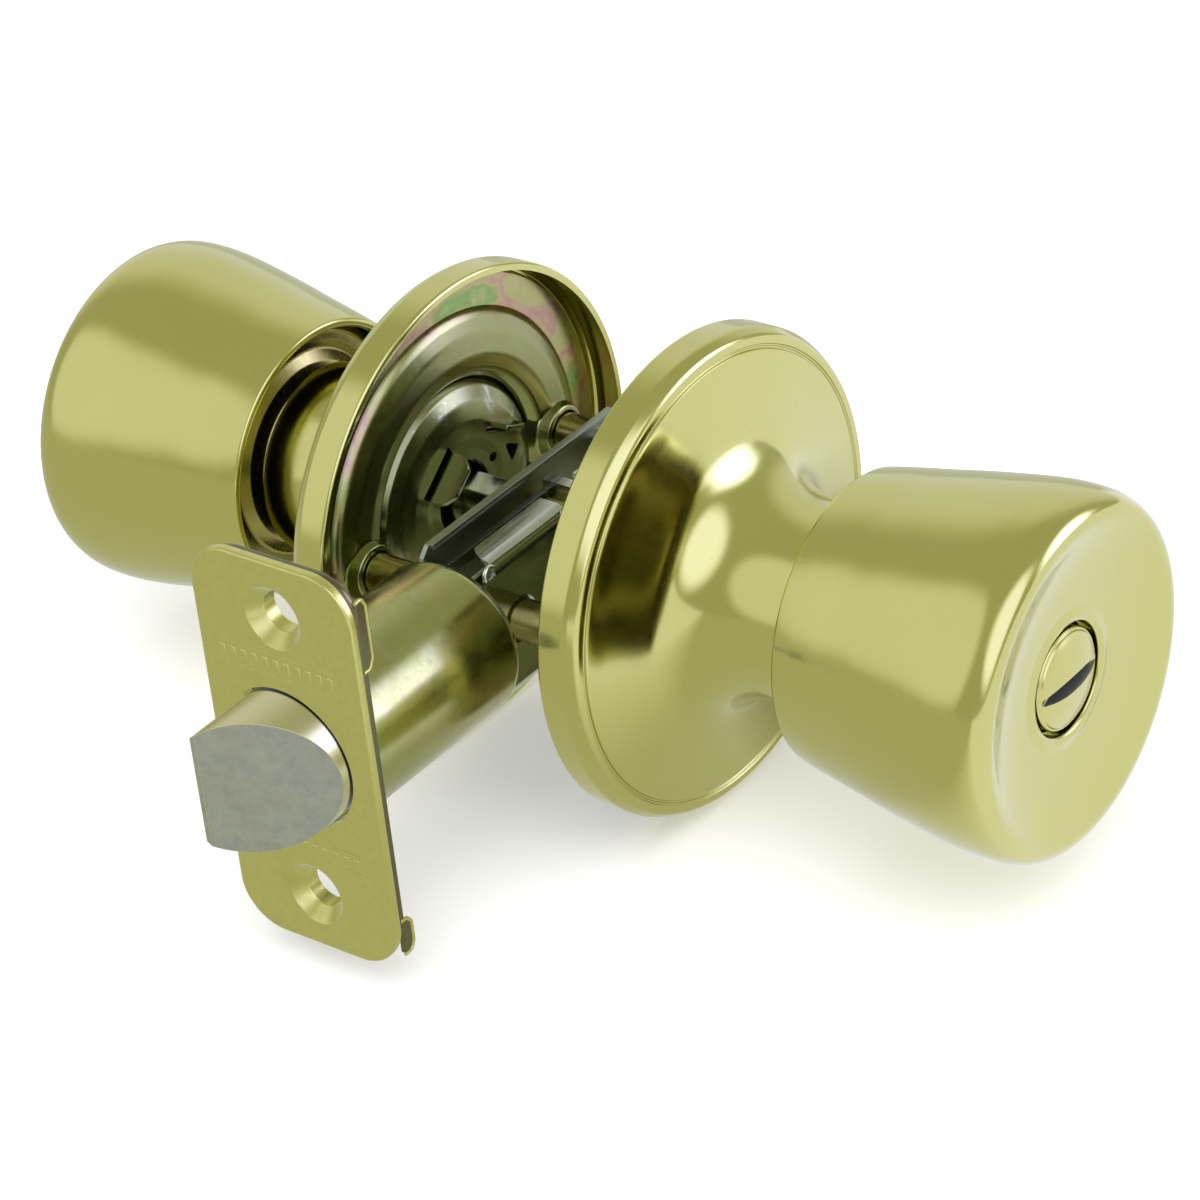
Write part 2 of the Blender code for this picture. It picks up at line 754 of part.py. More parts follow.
# The whole set, with its cutters, hangs on one empty where the two axes cross
lock_centre = bpy.data.objects.new("lock_centre", None)
lock_centre.location = Vector((0, -SEAT_Y, -SEAT_Z)) * MM
parts.objects.link(lock_centre)
for obj in list(parts.objects) + list(cutters.objects):
    if obj.parent is None and obj is not lock_centre:
        obj.parent = lock_centre
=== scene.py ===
"""Looks of the door knob set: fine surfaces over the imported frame, materials, light and camera.

Lengths are millimetres and MM turns them into metres. Pieces are shaped about the lock's centre, the
point where the spindle's axis crosses the latch's, with +X to the exterior knob and -Y to the bolt.
"""
import json
import math

import bmesh
import bpy
from mathutils import Matrix, Vector

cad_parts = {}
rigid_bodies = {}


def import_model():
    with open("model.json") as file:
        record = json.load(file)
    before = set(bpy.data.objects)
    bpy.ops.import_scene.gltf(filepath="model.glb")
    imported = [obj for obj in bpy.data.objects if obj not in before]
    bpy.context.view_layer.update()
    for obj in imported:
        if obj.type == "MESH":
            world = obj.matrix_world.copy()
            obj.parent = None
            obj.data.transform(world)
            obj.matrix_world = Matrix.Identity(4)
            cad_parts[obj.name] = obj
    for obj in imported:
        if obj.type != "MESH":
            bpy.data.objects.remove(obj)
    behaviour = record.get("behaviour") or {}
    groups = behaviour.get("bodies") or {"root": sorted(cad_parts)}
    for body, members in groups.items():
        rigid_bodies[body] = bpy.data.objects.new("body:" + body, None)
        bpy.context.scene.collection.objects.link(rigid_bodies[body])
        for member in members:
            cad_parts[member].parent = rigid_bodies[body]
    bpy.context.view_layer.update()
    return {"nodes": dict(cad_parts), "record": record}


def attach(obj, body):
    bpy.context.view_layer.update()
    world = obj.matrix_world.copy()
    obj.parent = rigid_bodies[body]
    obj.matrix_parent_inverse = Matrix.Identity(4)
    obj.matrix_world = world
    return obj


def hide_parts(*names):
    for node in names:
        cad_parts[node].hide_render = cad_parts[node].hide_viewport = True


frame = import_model()

MM = 0.001
TAU = 2 * math.pi

joint_places = {j["name"]: j.get("pos_m") for j in frame["record"]["behaviour"]["joints"]}
LOCK_CENTRE = Vector(joint_places["ext_knob_turn"])

# Half of the door's thickness, the roses that lie on it, and the drawn brass of roses and knobs
HALF_DOOR = 17.45
ROSE_RADIUS = 33.0
BRASS_SHEET = 0.7
# Pressed zinc-plated steel of the plates, the tube and the case
STEEL_SHEET = 0.8
# The two posts stand this far before and behind the spindle, a rod with one flat
POST_Y = 20.8
POSTS = (("front", -POST_Y), ("rear", POST_Y))
SPINDLE_RADIUS = 4.0
SPINDLE_FLAT = -3.3
# Lock buttons: the flange's radius and front, the stem's radius and inner end
BUTTON_RADIUS = 6.8
BUTTON_SEAT = 72.0
STEM_RADIUS = 3.2
STEM_END = 50.5
# Faceplate, with its front at FRONT, and its screw holes above and below the bolt
FRONT = -60.3
PLATE_HALF_WIDTH = 12.7
PLATE_HALF_HEIGHT = 28.575
PLATE_CORNER = 6.35
PLATE_THICK = 1.5
SCREW_Z = 20.6
SCREW_HOLES = (("upper", SCREW_Z), ("lower", -SCREW_Z))
BACKING_FRONT = FRONT + 1.8
BACKING_HALF_WIDTH = 12.1
# Round bolt with one flat side, its centre a little off the axis, and the gap round it
THROW = 11.0
BOLT_RADIUS = 9.5
BOLT_FLAT = -6.2
BOLT_OFFSET = -0.6
BOLT_GAP = 0.55
# Tube in the door's edge, and the case that enters it with a neck
TUBE_RADIUS = 11.05
CASE_HALF_WIDTH = 5.5
CASE_HALF_HEIGHT = 10.6
CASE_NECK = 6.4
CASE_FRONT = -31.0
CASE_REAR = 14.5
UP_DOWN = (("upper", 1), ("lower", -1))

# Facets round a turned piece, and the angle beyond which an edge stays sharp
FINE = 144
MEDIUM = 96
COARSE = 48
SHARP = math.radians(32)

SIDES = {"ext": ("+X", 1), "int": ("-X", -1)}
AXIS_TURNS = {
    "+X": Matrix.Rotation(math.pi / 2, 4, "Y"),
    "-X": Matrix.Rotation(-math.pi / 2, 4, "Y"),
    "+Y": Matrix.Rotation(-math.pi / 2, 4, "X"),
}
NODE_BODY = {}
for body_name, members in frame["record"]["behaviour"]["bodies"].items():
    for member in members:
        NODE_BODY[member] = body_name

scene = bpy.context.scene
scratch = bpy.data.collections.new("shaping")
scene.collection.children.link(scratch)
shown = bpy.data.collections.new("fine_pieces")
scene.collection.children.link(shown)


# ---------------------------------------------------------------- outlines
def arc(centre, radius, start, end, steps):
    points = []
    for i in range(steps + 1):
        t = math.radians(start + (end - start) * i / steps)
        points.append((centre[0] + radius * math.cos(t), centre[1] + radius * math.sin(t)))
    return points


def rounded_rectangle(half_u, half_v, radius, steps=16):
    u = half_u - radius
    v = half_v - radius
    points = []
    for corner, angle in (((u, v), 0), ((-u, v), 90), ((-u, -v), 180), ((u, -v), 270)):
        points += arc(corner, radius, angle, angle + 90, steps)
    return points


def circle_with_flat(radius, flat, centre=0.0):
    reach = math.degrees(math.acos((flat - centre) / radius))
    return arc((centre, 0), radius, -reach, reach, MEDIUM)


def soften(points, closed, steps=5):
    """Rounds the corners of a path: each point is (a, b) or (a, b, radius)."""
    count = len(points)
    out = []
    for i, p in enumerate(points):
        radius = p[2] if len(p) > 2 else 0
        here = Vector(p[:2])
        if radius == 0 or (not closed and i in (0, count - 1)):
            out.append(tuple(here))
            continue
        back = Vector(points[i - 1][:2]) - here
        ahead = Vector(points[(i + 1) % count][:2]) - here
        angle = back.angle(ahead)
        if angle > math.pi - 0.01:
            out.append(tuple(here))
            continue
        cut = min(radius / math.tan(angle / 2), back.length * 0.49, ahead.length * 0.49)
        radius = cut * math.tan(angle / 2)
        bisector = (back.normalized() + ahead.normalized()).normalized()
        centre = here + bisector * (radius / math.sin(angle / 2))
        first = here + back.normalized() * cut - centre
        last = here + ahead.normalized() * cut - centre
        turn = math.atan2(first.x * last.y - first.y * last.x, first.dot(last))
        for k in range(steps + 1):
            t = turn * k / steps
            turned = (
                first.x * math.cos(t) - first.y * math.sin(t),
                first.x * math.sin(t) + first.y * math.cos(t),
            )
            out.append(tuple(centre + Vector(turned)))
    return out


def through(points, steps=6):
    """Smooth curve through the points (Catmull-Rom)."""
    pts = [Vector(p) for p in points]
    pts = [pts[0] * 2 - pts[1]] + pts + [pts[-1] * 2 - pts[-2]]
    out = []
    for i in range(1, len(pts) - 2):
        p0, p1, p2, p3 = pts[i - 1 : i + 3]
        for k in range(steps):
            t = k / steps
            a = p1 * 2
            b = (p2 - p0) * t
            c = (p0 * 2 - p1 * 5 + p2 * 4 - p3) * t * t
            d = (p1 * 3 - p0 - p2 * 3 + p3) * t * t * t
            out.append(tuple((a + b + c + d) * 0.5))
    out.append(tuple(pts[-2]))
    return out


def signed_area(loop):
    total = 0.0
    for a, b in zip(loop, loop[1:] + loop[:1]):
        total += a[0] * b[1] - b[0] * a[1]
    return total / 2


# ---------------------------------------------------------------- solids
def new_object(name, mesh, keep=False):
    obj = bpy.data.objects.new(name, mesh)
    (shown if keep else scratch).objects.link(obj)
    return obj


def spin(name, profile, closed, way, segments=FINE, centre=(0, 0, 0), wall=0):
    """Turned piece; an open profile runs down its outer side, and wall thickens it inwards."""
    profile = [tuple(p[:2]) for p in profile]
    if (closed or profile[0][0] == 0) and signed_area(profile) > 0:
        profile = profile[::-1]
    mesh = bpy.data.meshes.new(name)
    verts = [(r * MM, 0, h * MM) for r, h in profile]
    edges = [(i, i + 1) for i in range(len(verts) - 1)]
    if closed:
        edges.append((len(verts) - 1, 0))
    mesh.from_pydata(verts, edges, [])
    obj = new_object(name, mesh)
    obj.matrix_world = Matrix.Translation(Vector(centre) * MM) @ AXIS_TURNS[way]
    turn = obj.modifiers.new("Turn", "SCREW")
    turn.axis = "Z"
    turn.angle = TAU
    turn.steps = segments
    turn.render_steps = segments
    turn.use_merge_vertices = True
    turn.merge_threshold = 1e-7
    turn.use_smooth_shade = True
    if wall:
        sheet = obj.modifiers.new("Sheet", "SOLIDIFY")
        sheet.thickness = wall * MM
        sheet.offset = -1
        sheet.use_even_offset = True
    return obj


def plate(name, outline, origin, u, v, depth):
    """Flat outline in the u and v directions from origin, thickened by depth along u x v."""
    u = Vector(u).normalized()
    v = Vector(v).normalized()
    w = u.cross(v)
    curve = bpy.data.curves.new(name, "CURVE")
    curve.dimensions = "2D"
    curve.fill_mode = "BOTH"
    curve.extrude = abs(depth) / 2 * MM
    spline = curve.splines.new("POLY")
    spline.points.add(len(outline) - 1)
    for point, p in zip(spline.points, outline):
        point.co = (p[0] * MM, p[1] * MM, 0, 1)
    spline.use_cyclic_u = True
    flat = bpy.data.objects.new(name + "_curve", curve)
    scratch.objects.link(flat)
    matrix = Matrix((u, v, w)).transposed().to_4x4()
    matrix.translation = (Vector(origin) + w * depth / 2) * MM
    flat.matrix_world = matrix
    bpy.context.view_layer.update()
    evaluated = flat.evaluated_get(bpy.context.evaluated_depsgraph_get())
    mesh = bpy.data.meshes.new_from_object(evaluated)
    bm = bmesh.new()
    bm.from_mesh(mesh)
    bmesh.ops.remove_doubles(bm, verts=bm.verts, dist=1e-7)
    bmesh.ops.dissolve_limit(bm, angle_limit=0.001, verts=bm.verts, edges=bm.edges)
    bmesh.ops.recalc_face_normals(bm, faces=bm.faces)
    bm.to_mesh(mesh)
    bm.free()
    bpy.data.objects.remove(flat, do_unlink=True)
    obj = new_object(name, mesh)
    obj.matrix_world = matrix
    return obj


def block(name, low, high):
    low = Vector(low) * MM
    high = Vector(high) * MM
    mesh = bpy.data.meshes.new(name)
    bm = bmesh.new()
    bmesh.ops.create_cube(bm, size=1)
    bmesh.ops.scale(bm, vec=high - low, verts=bm.verts)
    bmesh.ops.translate(bm, vec=(low + high) / 2, verts=bm.verts)
    bm.to_mesh(mesh)
    bm.free()
    return new_object(name, mesh)


def cylinder(name, radius, start, end, way, centre=(0, 0, 0), segments=COARSE):
    loop = [(0, start), (radius, start), (radius, end), (0, end)]
    return spin(name, loop, False, way, segments, centre)


def boolean(obj, other, operation):
    mod = obj.modifiers.new(other.name, "BOOLEAN")
    mod.operation = operation
    mod.solver = "EXACT"
    mod.object = other
    return obj


def cut(obj, other):
    return boolean(obj, other, "DIFFERENCE")


def join(obj, other):
    return boolean(obj, other, "UNION")


def bevel(obj, width, segments):
    mod = obj.modifiers.new("Bevel", "BEVEL")
    mod.width = width * MM
    mod.segments = segments
    mod.limit_method = "ANGLE"
    mod.angle_limit = SHARP
    return obj


def wire(name, points, radius):
    curve = bpy.data.curves.new(name, "CURVE")
    curve.dimensions = "3D"
    curve.bevel_depth = radius * MM
    curve.bevel_resolution = 4
    curve.use_fill_caps = True
    spline = curve.splines.new("POLY")
    spline.points.add(len(points) - 1)
    for point, p in zip(spline.points, points):
        point.co = (p[0] * MM, p[1] * MM, p[2] * MM, 1)
    obj = bpy.data.objects.new(name, curve)
    scratch.objects.link(obj)
    return obj


def show(obj, name, node, material, smooth=SHARP, second=None, picks=None, stands=True):
    """Bakes a shaped piece into the frame, riding with its CAD node's body.

    It stands in for the node unless stands is False. Faces that picks(face) accepts take the second material.
    """
    bpy.context.view_layer.update()
    evaluated = obj.evaluated_get(bpy.context.evaluated_depsgraph_get())
    mesh = bpy.data.meshes.new_from_object(evaluated)
    mesh.transform(obj.matrix_world)
    mesh.name = name
    mesh.materials.clear()
    mesh.materials.append(material)
    if second is not None:
        mesh.materials.append(second)
    for polygon in mesh.polygons:
        polygon.material_index = int(second is not None and picks(polygon))
    mesh.transform(Matrix.Translation(LOCK_CENTRE))
    mesh.shade_smooth()
    mesh.set_sharp_from_angle(angle=smooth)
    piece = new_object(name, mesh, keep=True)
    flat = piece.modifiers.new("Faces", "WEIGHTED_NORMAL")
    flat.keep_sharp = True
    flat.weight = 60
    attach(piece, NODE_BODY[node])
    if stands:
        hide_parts(node)


# ---------------------------------------------------------------- materials
class Nodes:
    """Small helper over one material's node tree."""

    def __init__(self, name=None, tree=None):
        if tree is None:
            self.material = bpy.data.materials.new(name)
            self.material.use_nodes = True
            tree = self.material.node_tree
            self.shader = tree.nodes["Principled BSDF"]
        self.tree = tree

    def add(self, kind, **values):
        node = self.tree.nodes.new(kind)
        for key, value in values.items():
            if key in node.inputs:
                node.inputs[key].default_value = value
            else:
                setattr(node, key, value)
        return node

    def link(self, out, into):
        self.tree.links.new(out, into)

    def maths(self, operation, a, b=None):
        node = self.add("ShaderNodeMath", operation=operation)
        for i, value in enumerate((a, b)):
            if value is None:
                continue
            if isinstance(value, (int, float)):
                node.inputs[i].default_value = value
            else:
                self.link(value, node.inputs[i])
        return node.outputs[0]

    def mix(self, factor, a, b):
        node = self.add("ShaderNodeMix", data_type="RGBA")
        for socket, value in ((node.inputs[0], factor), (node.inputs[6], a), (node.inputs[7], b)):
            if isinstance(value, (int, float, tuple)):
                socket.default_value = value
            else:
                self.link(value, socket)
        return node.outputs[2]

    def span(self, value, low, high, to_low=0.0, to_high=1.0):
        node = self.add("ShaderNodeMapRange")
        self.link(value, node.inputs["Value"])
        node.inputs["From Min"].default_value = low
        node.inputs["From Max"].default_value = high
        node.inputs["To Min"].default_value = to_low
        node.inputs["To Max"].default_value = to_high
        return node.outputs[0]

    def noise(self, scale, detail=3.0, roughness=0.5, vector=None, distortion=0.0):
        node = self.add("ShaderNodeTexNoise", Scale=scale, Detail=detail, Roughness=roughness)
        node.inputs["Distortion"].default_value = distortion
        self.link(vector if vector is not None else self.place(), node.inputs["Vector"])
        return node.outputs["Fac"]

    def place(self):
        """Where a point is on the object, measured from the lock's centre."""
        if not hasattr(self, "spot"):
            shift = self.add("ShaderNodeVectorMath", operation="SUBTRACT")
            self.link(self.add("ShaderNodeTexCoord").outputs["Object"], shift.inputs[0])
            shift.inputs[1].default_value = LOCK_CENTRE
            self.spot = shift.outputs[0]
        return self.spot

    def polar(self, axis):
        """Distance along an axis, distance from it and angle round it."""
        split = self.add("ShaderNodeSeparateXYZ")
        self.link(self.place(), split.inputs[0])
        order = {"X": (0, 1, 2), "Y": (1, 2, 0), "Z": (2, 0, 1)}[axis]
        run, a, b = (split.outputs[i] for i in order)
        square = self.maths("ADD", self.maths("MULTIPLY", a, a), self.maths("MULTIPLY", b, b))
        return run, self.maths("SQRT", square), self.maths("ARCTAN2", a, b)

    def radius(self, axis):
        return self.polar(axis)[1]

    def around(self, axis, along, about):
        """Coordinates wrapped round an axis: fine rings along it, stretched round it."""
        run, radius, angle = self.polar(axis)
        wrapped = self.add("ShaderNodeCombineXYZ")
        self.link(self.maths("MULTIPLY", run, along), wrapped.inputs[0])
        self.link(self.maths("MULTIPLY", radius, along), wrapped.inputs[1])
        self.link(self.maths("MULTIPLY", angle, about), wrapped.inputs[2])
        return wrapped.outputs[0]

    def stretch(self, scales):
        """Coordinates scaled differently along X, Y and Z."""
        node = self.add("ShaderNodeVectorMath", operation="MULTIPLY")
        self.link(self.place(), node.inputs[0])
        node.inputs[1].default_value = scales
        return node.outputs[0]

    def cooled(self, level):
        """Light colour for a brightness: bright reflections turn paler than the metal itself."""
        blue = self.maths("MINIMUM", self.maths("ADD", self.maths("MULTIPLY", level, 0.80), 0.42), 2.1)
        colour = self.add("ShaderNodeCombineColor")
        colour.inputs[0].default_value = 0.985
        colour.inputs[1].default_value = 1.0
        self.link(blue, colour.inputs[2])
        return colour.outputs[0]

    def bump(self, height, strength, distance, previous=None):
        node = self.add("ShaderNodeBump", Strength=strength, Distance=distance)
        self.link(height, node.inputs["Height"])
        if previous is not None:
            self.link(previous, node.inputs["Normal"])
        return node.outputs[0]

    def metal(self, colour, roughness, fine, coarse, metallic=1.0):
        """Finished metal; fine and coarse are reliefs as (height, strength, distance)."""
        self.link(colour, self.shader.inputs["Base Color"])
        self.link(roughness, self.shader.inputs["Roughness"])
        self.shader.inputs["Metallic"].default_value = metallic
        self.link(self.bump(*coarse, self.bump(*fine)), self.shader.inputs["Normal"])
        return self.material


def brass(
    name,
    axis="X",
    rough=0.12,
    tint=(0.535, 0.52, 0.158, 1),
    deep=(0.48, 0.455, 0.112, 1),
    grease_from=None,
):
    """Lacquered bright brass: pale greenish gold, polishing rings, faint handling smears.

    Beyond the place given last, along its axis, in millimetres, the piece is painted near black: painted
    shadow where it slides into its opening.
    """
    n = Nodes(name)
    cloud = n.span(n.noise(42, 3), 0.35, 0.7)
    colour = n.mix(n.maths("MULTIPLY", cloud, 0.30), tint, deep)
    specks = n.span(n.noise(2600, 2, 0.5), 0.70, 0.78)
    colour = n.mix(n.maths("MULTIPLY", specks, 0.35), colour, (0.24, 0.20, 0.06, 1))
    # Painted shadow: near black beyond that place along the axis, the shade in the gap where the piece goes
    # into its opening
    if grease_from is not None:
        painted_shadow = n.span(n.polar(axis)[0], (grease_from - 0.25) * MM, grease_from * MM)
        colour = n.mix(painted_shadow, colour, (0.012, 0.011, 0.008, 1))
    rings = n.noise(1.0, 2, 0.6, n.around(axis, 9000, 3.0))
    smears = n.span(n.noise(160, 4, 0.6), 0.45, 0.75, 0.0, 0.05)
    polish = n.span(rings, 0.3, 0.7, rough - 0.02, rough + 0.03)
    roughness = n.maths("ADD", polish, smears)
    return n.metal(colour, roughness, (rings, 0.05, 0.00002), (n.noise(210, 2), 0.05, 0.00004))


def satin_brass(name, tint, rough):
    """Brass plate over bead-blasted sheet: a fine even mottle, darker stains and fine scratches."""
    n = Nodes(name)
    mottle = n.span(n.noise(900, 4, 0.65), 0.35, 0.68)
    colour = n.mix(n.maths("MULTIPLY", mottle, 0.35), tint, (0.48, 0.46, 0.12, 1))
    stains = n.span(n.noise(95, 4, 0.6), 0.62, 0.78)
    colour = n.mix(n.maths("MULTIPLY", stains, 0.4), colour, (0.40, 0.35, 0.12, 1))
    scratches = n.span(n.noise(1.0, 2, 0.5, n.stretch((420, 4200, 2600))), 0.70, 0.76)
    colour = n.mix(n.maths("MULTIPLY", scratches, 0.35), colour, (0.34, 0.29, 0.10, 1))
    roughness = n.span(mottle, 0.0, 1.0, rough - 0.04, rough + 0.08)
    blasted = (n.noise(1500, 3, 0.6), 0.10, 0.00003)
    return n.metal(colour, roughness, blasted, (n.noise(240, 3), 0.06, 0.00006))


def yellow_zinc(name, hue, rough, film, axis="X", silver=0.0, film_from=None, silver_from=None):
    """Yellow-chromate zinc plate: olive gold, pink and green where the film changes thickness.

    film_from and silver_from keep the strong colours and the silver spots beyond that radius; on a cap's
    shoulder the silver spots are worn plating and a painted highlight.
    """
    n = Nodes(name)
    if film_from is not None:
        film = n.span(n.radius(axis), film_from * MM, (film_from + 1.5) * MM, 0.15, film)
    drift = n.noise(48, 2, 0.5, distortion=1.6)
    bands = n.noise(1.0, 2, 0.5, n.around(axis, 240, 0.8))
    shade = n.maths("ADD", n.maths("MULTIPLY", drift, 0.6), n.maths("MULTIPLY", bands, 0.4))
    ramp = n.add("ShaderNodeValToRGB")
    n.link(shade, ramp.inputs[0])
    stops = ramp.color_ramp.elements
    stops[0].position = 0.36
    stops[0].color = (0.40, 0.38, 0.13, 1)
    stops[1].position = 0.72
    stops[1].color = (0.50, 0.50, 0.24, 1)
    for position, colour in (
        (0.43, (0.40, 0.38, 0.14, 1)),
        (0.48, (0.42, 0.24, 0.17, 1)),
        (0.52, (0.44, 0.36, 0.15, 1)),
        (0.56, (0.20, 0.34, 0.08, 1)),
        (0.62, (0.42, 0.41, 0.16, 1)),
    ):
        stop = stops.new(position)
        stop.color = colour
    colour = n.mix(film, hue, ramp.outputs[0])
    grime = n.span(n.noise(260, 4, 0.6), 0.52, 0.75)
    colour = n.mix(n.maths("MULTIPLY", grime, 0.22), colour, (0.21, 0.21, 0.07, 1))
    # Silver spots: worn plating; where they are kept to a shoulder they are also a painted highlight there
    wear_and_sheen = n.span(n.noise(130, 4, 0.7, distortion=0.6), 0.52, 0.66)
    if silver_from is not None:
        shoulder = n.span(n.radius(axis), silver_from * MM, (silver_from + 2.5) * MM)
        wear_and_sheen = n.maths("MULTIPLY", wear_and_sheen, shoulder)
    colour = n.mix(n.maths("MULTIPLY", wear_and_sheen, silver), colour, (0.58, 0.62, 0.44, 1))
    grain = n.noise(1100, 3, 0.6)
    roughness = n.span(grain, 0.3, 0.7, rough - 0.03, rough + 0.05)
    return n.metal(colour, roughness, (grain, 0.03, 0.00003), (n.noise(180, 2), 0.05, 0.00006))


def steel(name, axis=None, base=(0.48, 0.505, 0.38, 1), dark=(0.26, 0.28, 0.20, 1), rough=0.18):
    """Clear zinc plated or spring steel; turned pieces carry rings, sheets a grain along the latch."""
    n = Nodes(name)
    patches = n.span(n.noise(120, 4, 0.6), 0.4, 0.7)
    where = n.around(axis, 3500, 6.0) if axis else n.stretch((2200, 160, 2200))
    lines = n.noise(1.0, 3, 0.6, where)
    colour = n.mix(n.maths("MULTIPLY", patches, 0.45), base, dark)
    roughness = n.span(lines, 0.3, 0.7, rough - 0.04, rough + 0.06)
    return n.metal(colour, roughness, (lines, 0.03, 0.00003), (n.noise(500, 2), 0.05, 0.00004))


def sintered(name):
    """Cast bolt slope: matte mottled grey with blotches and fine grit."""
    n = Nodes(name)
    mottle = n.span(n.noise(520, 5, 0.65), 0.34, 0.68)
    colour = n.mix(mottle, (0.42, 0.44, 0.335, 1), (0.34, 0.36, 0.275, 1))
    blotch = n.span(n.noise(150, 3), 0.42, 0.7)
    colour = n.mix(n.maths("MULTIPLY", blotch, 0.35), colour, (0.37, 0.36, 0.25, 1))
    roughness = n.span(mottle, 0.0, 1.0, 0.42, 0.58)
    grit = (n.noise(1800, 4, 0.65), 0.22, 0.00004)
    return n.metal(colour, roughness, grit, (n.noise(400, 3), 0.12, 0.00008), 0.85)


BRASS_X = brass("bright_brass_turned")
BRASS_FLAT = satin_brass("satin_brass_plate", (0.57, 0.55, 0.158, 1), 0.30)
BRASS_BOLT = brass(
    "bright_brass_bolt",
    axis="Y",
    rough=0.26,
    tint=(0.56, 0.54, 0.24, 1),
    deep=(0.50, 0.46, 0.20, 1),
    # the bolt is painted near black behind the faceplate's front: painted shadow in the gap round it
    grease_from=FRONT + 0.15,
)
BRASS_BUTTON = brass("bright_brass_button", rough=0.2)
ZINC_PLATE = yellow_zinc("yellow_zinc_pressed", (0.26, 0.28, 0.09, 1), 0.22, 0.95, film_from=25.0)
ZINC_TUBE = yellow_zinc("yellow_zinc_tube", (0.345, 0.345, 0.11, 1), 0.21, 0.10, axis="Y", silver=0.12)
ZINC_INSERT = yellow_zinc("yellow_zinc_insert", (0.36, 0.31, 0.09, 1), 0.24, 0.1)
# Strong silver spots on the cap's shoulder: worn plating and a painted highlight on the shoulder
ZINC_CAP = yellow_zinc(
    "yellow_zinc_cap", (0.20, 0.225, 0.08, 1), 0.22, 0.15, silver=0.8, silver_from=11.0
)
# Yellow zinc darkened for the backing plate and its ears: painted shade behind the faceplate
BACKING_PAINTED_SHADE = yellow_zinc("yellow_zinc_backing_painted_shade", (0.13, 0.12, 0.05, 1), 0.24, 0.1, axis="Y")
STEEL_Y = steel("zinc_steel_sheet")
# The left case side in a darker copy of the case's zinc steel: painted shade
CASE_PAINTED_SHADE = steel("zinc_steel_case_painted_shade", None, (0.32, 0.35, 0.235, 1), (0.19, 0.21, 0.14, 1), 0.34)
STEEL_X = steel("zinc_steel_turned", "X")
# Brighter copy of the zinc steel for the curled edges: painted highlight
STEEL_PAINTED_HIGHLIGHT = steel("zinc_steel_painted_highlight", "X", (0.66, 0.69, 0.52, 1), (0.44, 0.46, 0.34, 1), 0.18)
# Dark steel used only on the coin slot's walls: painted shade inside the slot
SLOT_PAINTED_SHADE = steel("painted_shade_slot", "Z", (0.20, 0.21, 0.18, 1), (0.07, 0.07, 0.06, 1), 0.30)
SPRING = steel("spring_steel", "X", (0.30, 0.31, 0.27, 1), (0.14, 0.14, 0.12, 1), 0.28)
SINTERED = sintered("bolt_slope_cast")


# ---------------------------------------------------------------- roses and knobs
def rose(side):
    way = SIDES[side][0]
    flare = through(
        [
            (13.5, 42.5), (13.5, 37.5), (13.8, 34.0), (14.5, 31.2), (15.6, 29.0),
            (17.1, 27.3), (18.9, 26.15), (21.0, 25.35), (24.0, 24.5), (27.0, 23.8),
            (29.8, 23.3),
        ]
    )
    rim = soften(
        [
            (29.9, 23.28), (30.2, 23.2, 0.1), (30.32, 22.9, 0.12), (30.55, 22.88, 0.12),
            (30.66, 23.05, 0.08), (30.84, 23.02, 0.08), (30.96, 23.2, 0.15),
            (32.1, 23.1, 1.0), (ROSE_RADIUS, 21.6, 1.6), (ROSE_RADIUS, HALF_DOOR, 1.0),
            (31.9, HALF_DOOR + 0.05),
        ],
        False,
    )
    lip = soften([(12.9, 44.2), (13.5, 44.2, 0.5), (13.5, 42.8)], False)
    obj = spin(side + "_rose_shape", lip + flare + rim, False, way, wall=BRASS_SHEET)
    if side == "int":
        for place, y in POSTS:
            cut(obj, cylinder("rose_access_" + place, 4.1, 20.0, 32.0, way, (0, y, 0)))
    show(obj, side + "_rose_fine", side + "_rose", BRASS_X)


def knob_shell(side):
    way = SIDES[side][0]
    boss = [(7.5, 72.6), (7.5, 74.8, 0.4), (8.3, 75.1, 0.7), (9.6, 74.82, 1.2), (10.8, 74.95)]
    outside = through(
        [
            (11.0, 74.97), (13.0, 75.17), (15.0, 75.47), (17.0, 75.9), (18.8, 76.4),
            (20.2, 76.85), (21.4, 77.1), (22.6, 76.8), (23.5, 75.85), (24.05, 74.3),
            (24.25, 72.5), (24.2, 69.5), (23.8, 66.0), (23.1, 61.7), (22.3, 57.2),
            (21.4, 52.7), (20.75, 49.2), (20.2, 46.4),
        ]
    )
    rear = soften([(20.0, 45.5), (19.6, 43.7, 0.9), (18.7, 43.7, 0.5), (18.3, 44.3)], False)
    obj = spin(side + "_shell_shape", soften(boss, False) + outside + rear, False, way, wall=BRASS_SHEET)
    show(obj, side + "_knob_shell_fine", side + "_knob_shell", BRASS_X)


def knob_insert(side):
    way = SIDES[side][0]
    loop = soften(
        [
            (19.3, 52.0, 0.3), (19.3, 49.0, 0.6), (18.4, 47.6, 0.8), (17.2, 46.6, 0.6),
            (15.9, 47.5, 0.8), (14.6, 47.8, 0.8), (13.0, 46.8, 0.8), (10.8, 46.4, 0.6),
            (10.8, 24.6), (10.2, 24.6), (10.2, 23.4), (10.8, 23.4), (10.8, 22.6, 0.2),
            (9.6, 22.6, 0.2), (9.6, 48.4, 0.5), (14.0, 49.2, 0.5), (17.9, 49.8, 0.5),
            (18.1, 52.0, 0.3),
        ],
        True,
        4,
    )
    obj = spin(side + "_insert_shape", loop, True, way, MEDIUM)
    show(obj, side + "_knob_insert_fine", side + "_knob_insert", ZINC_INSERT)


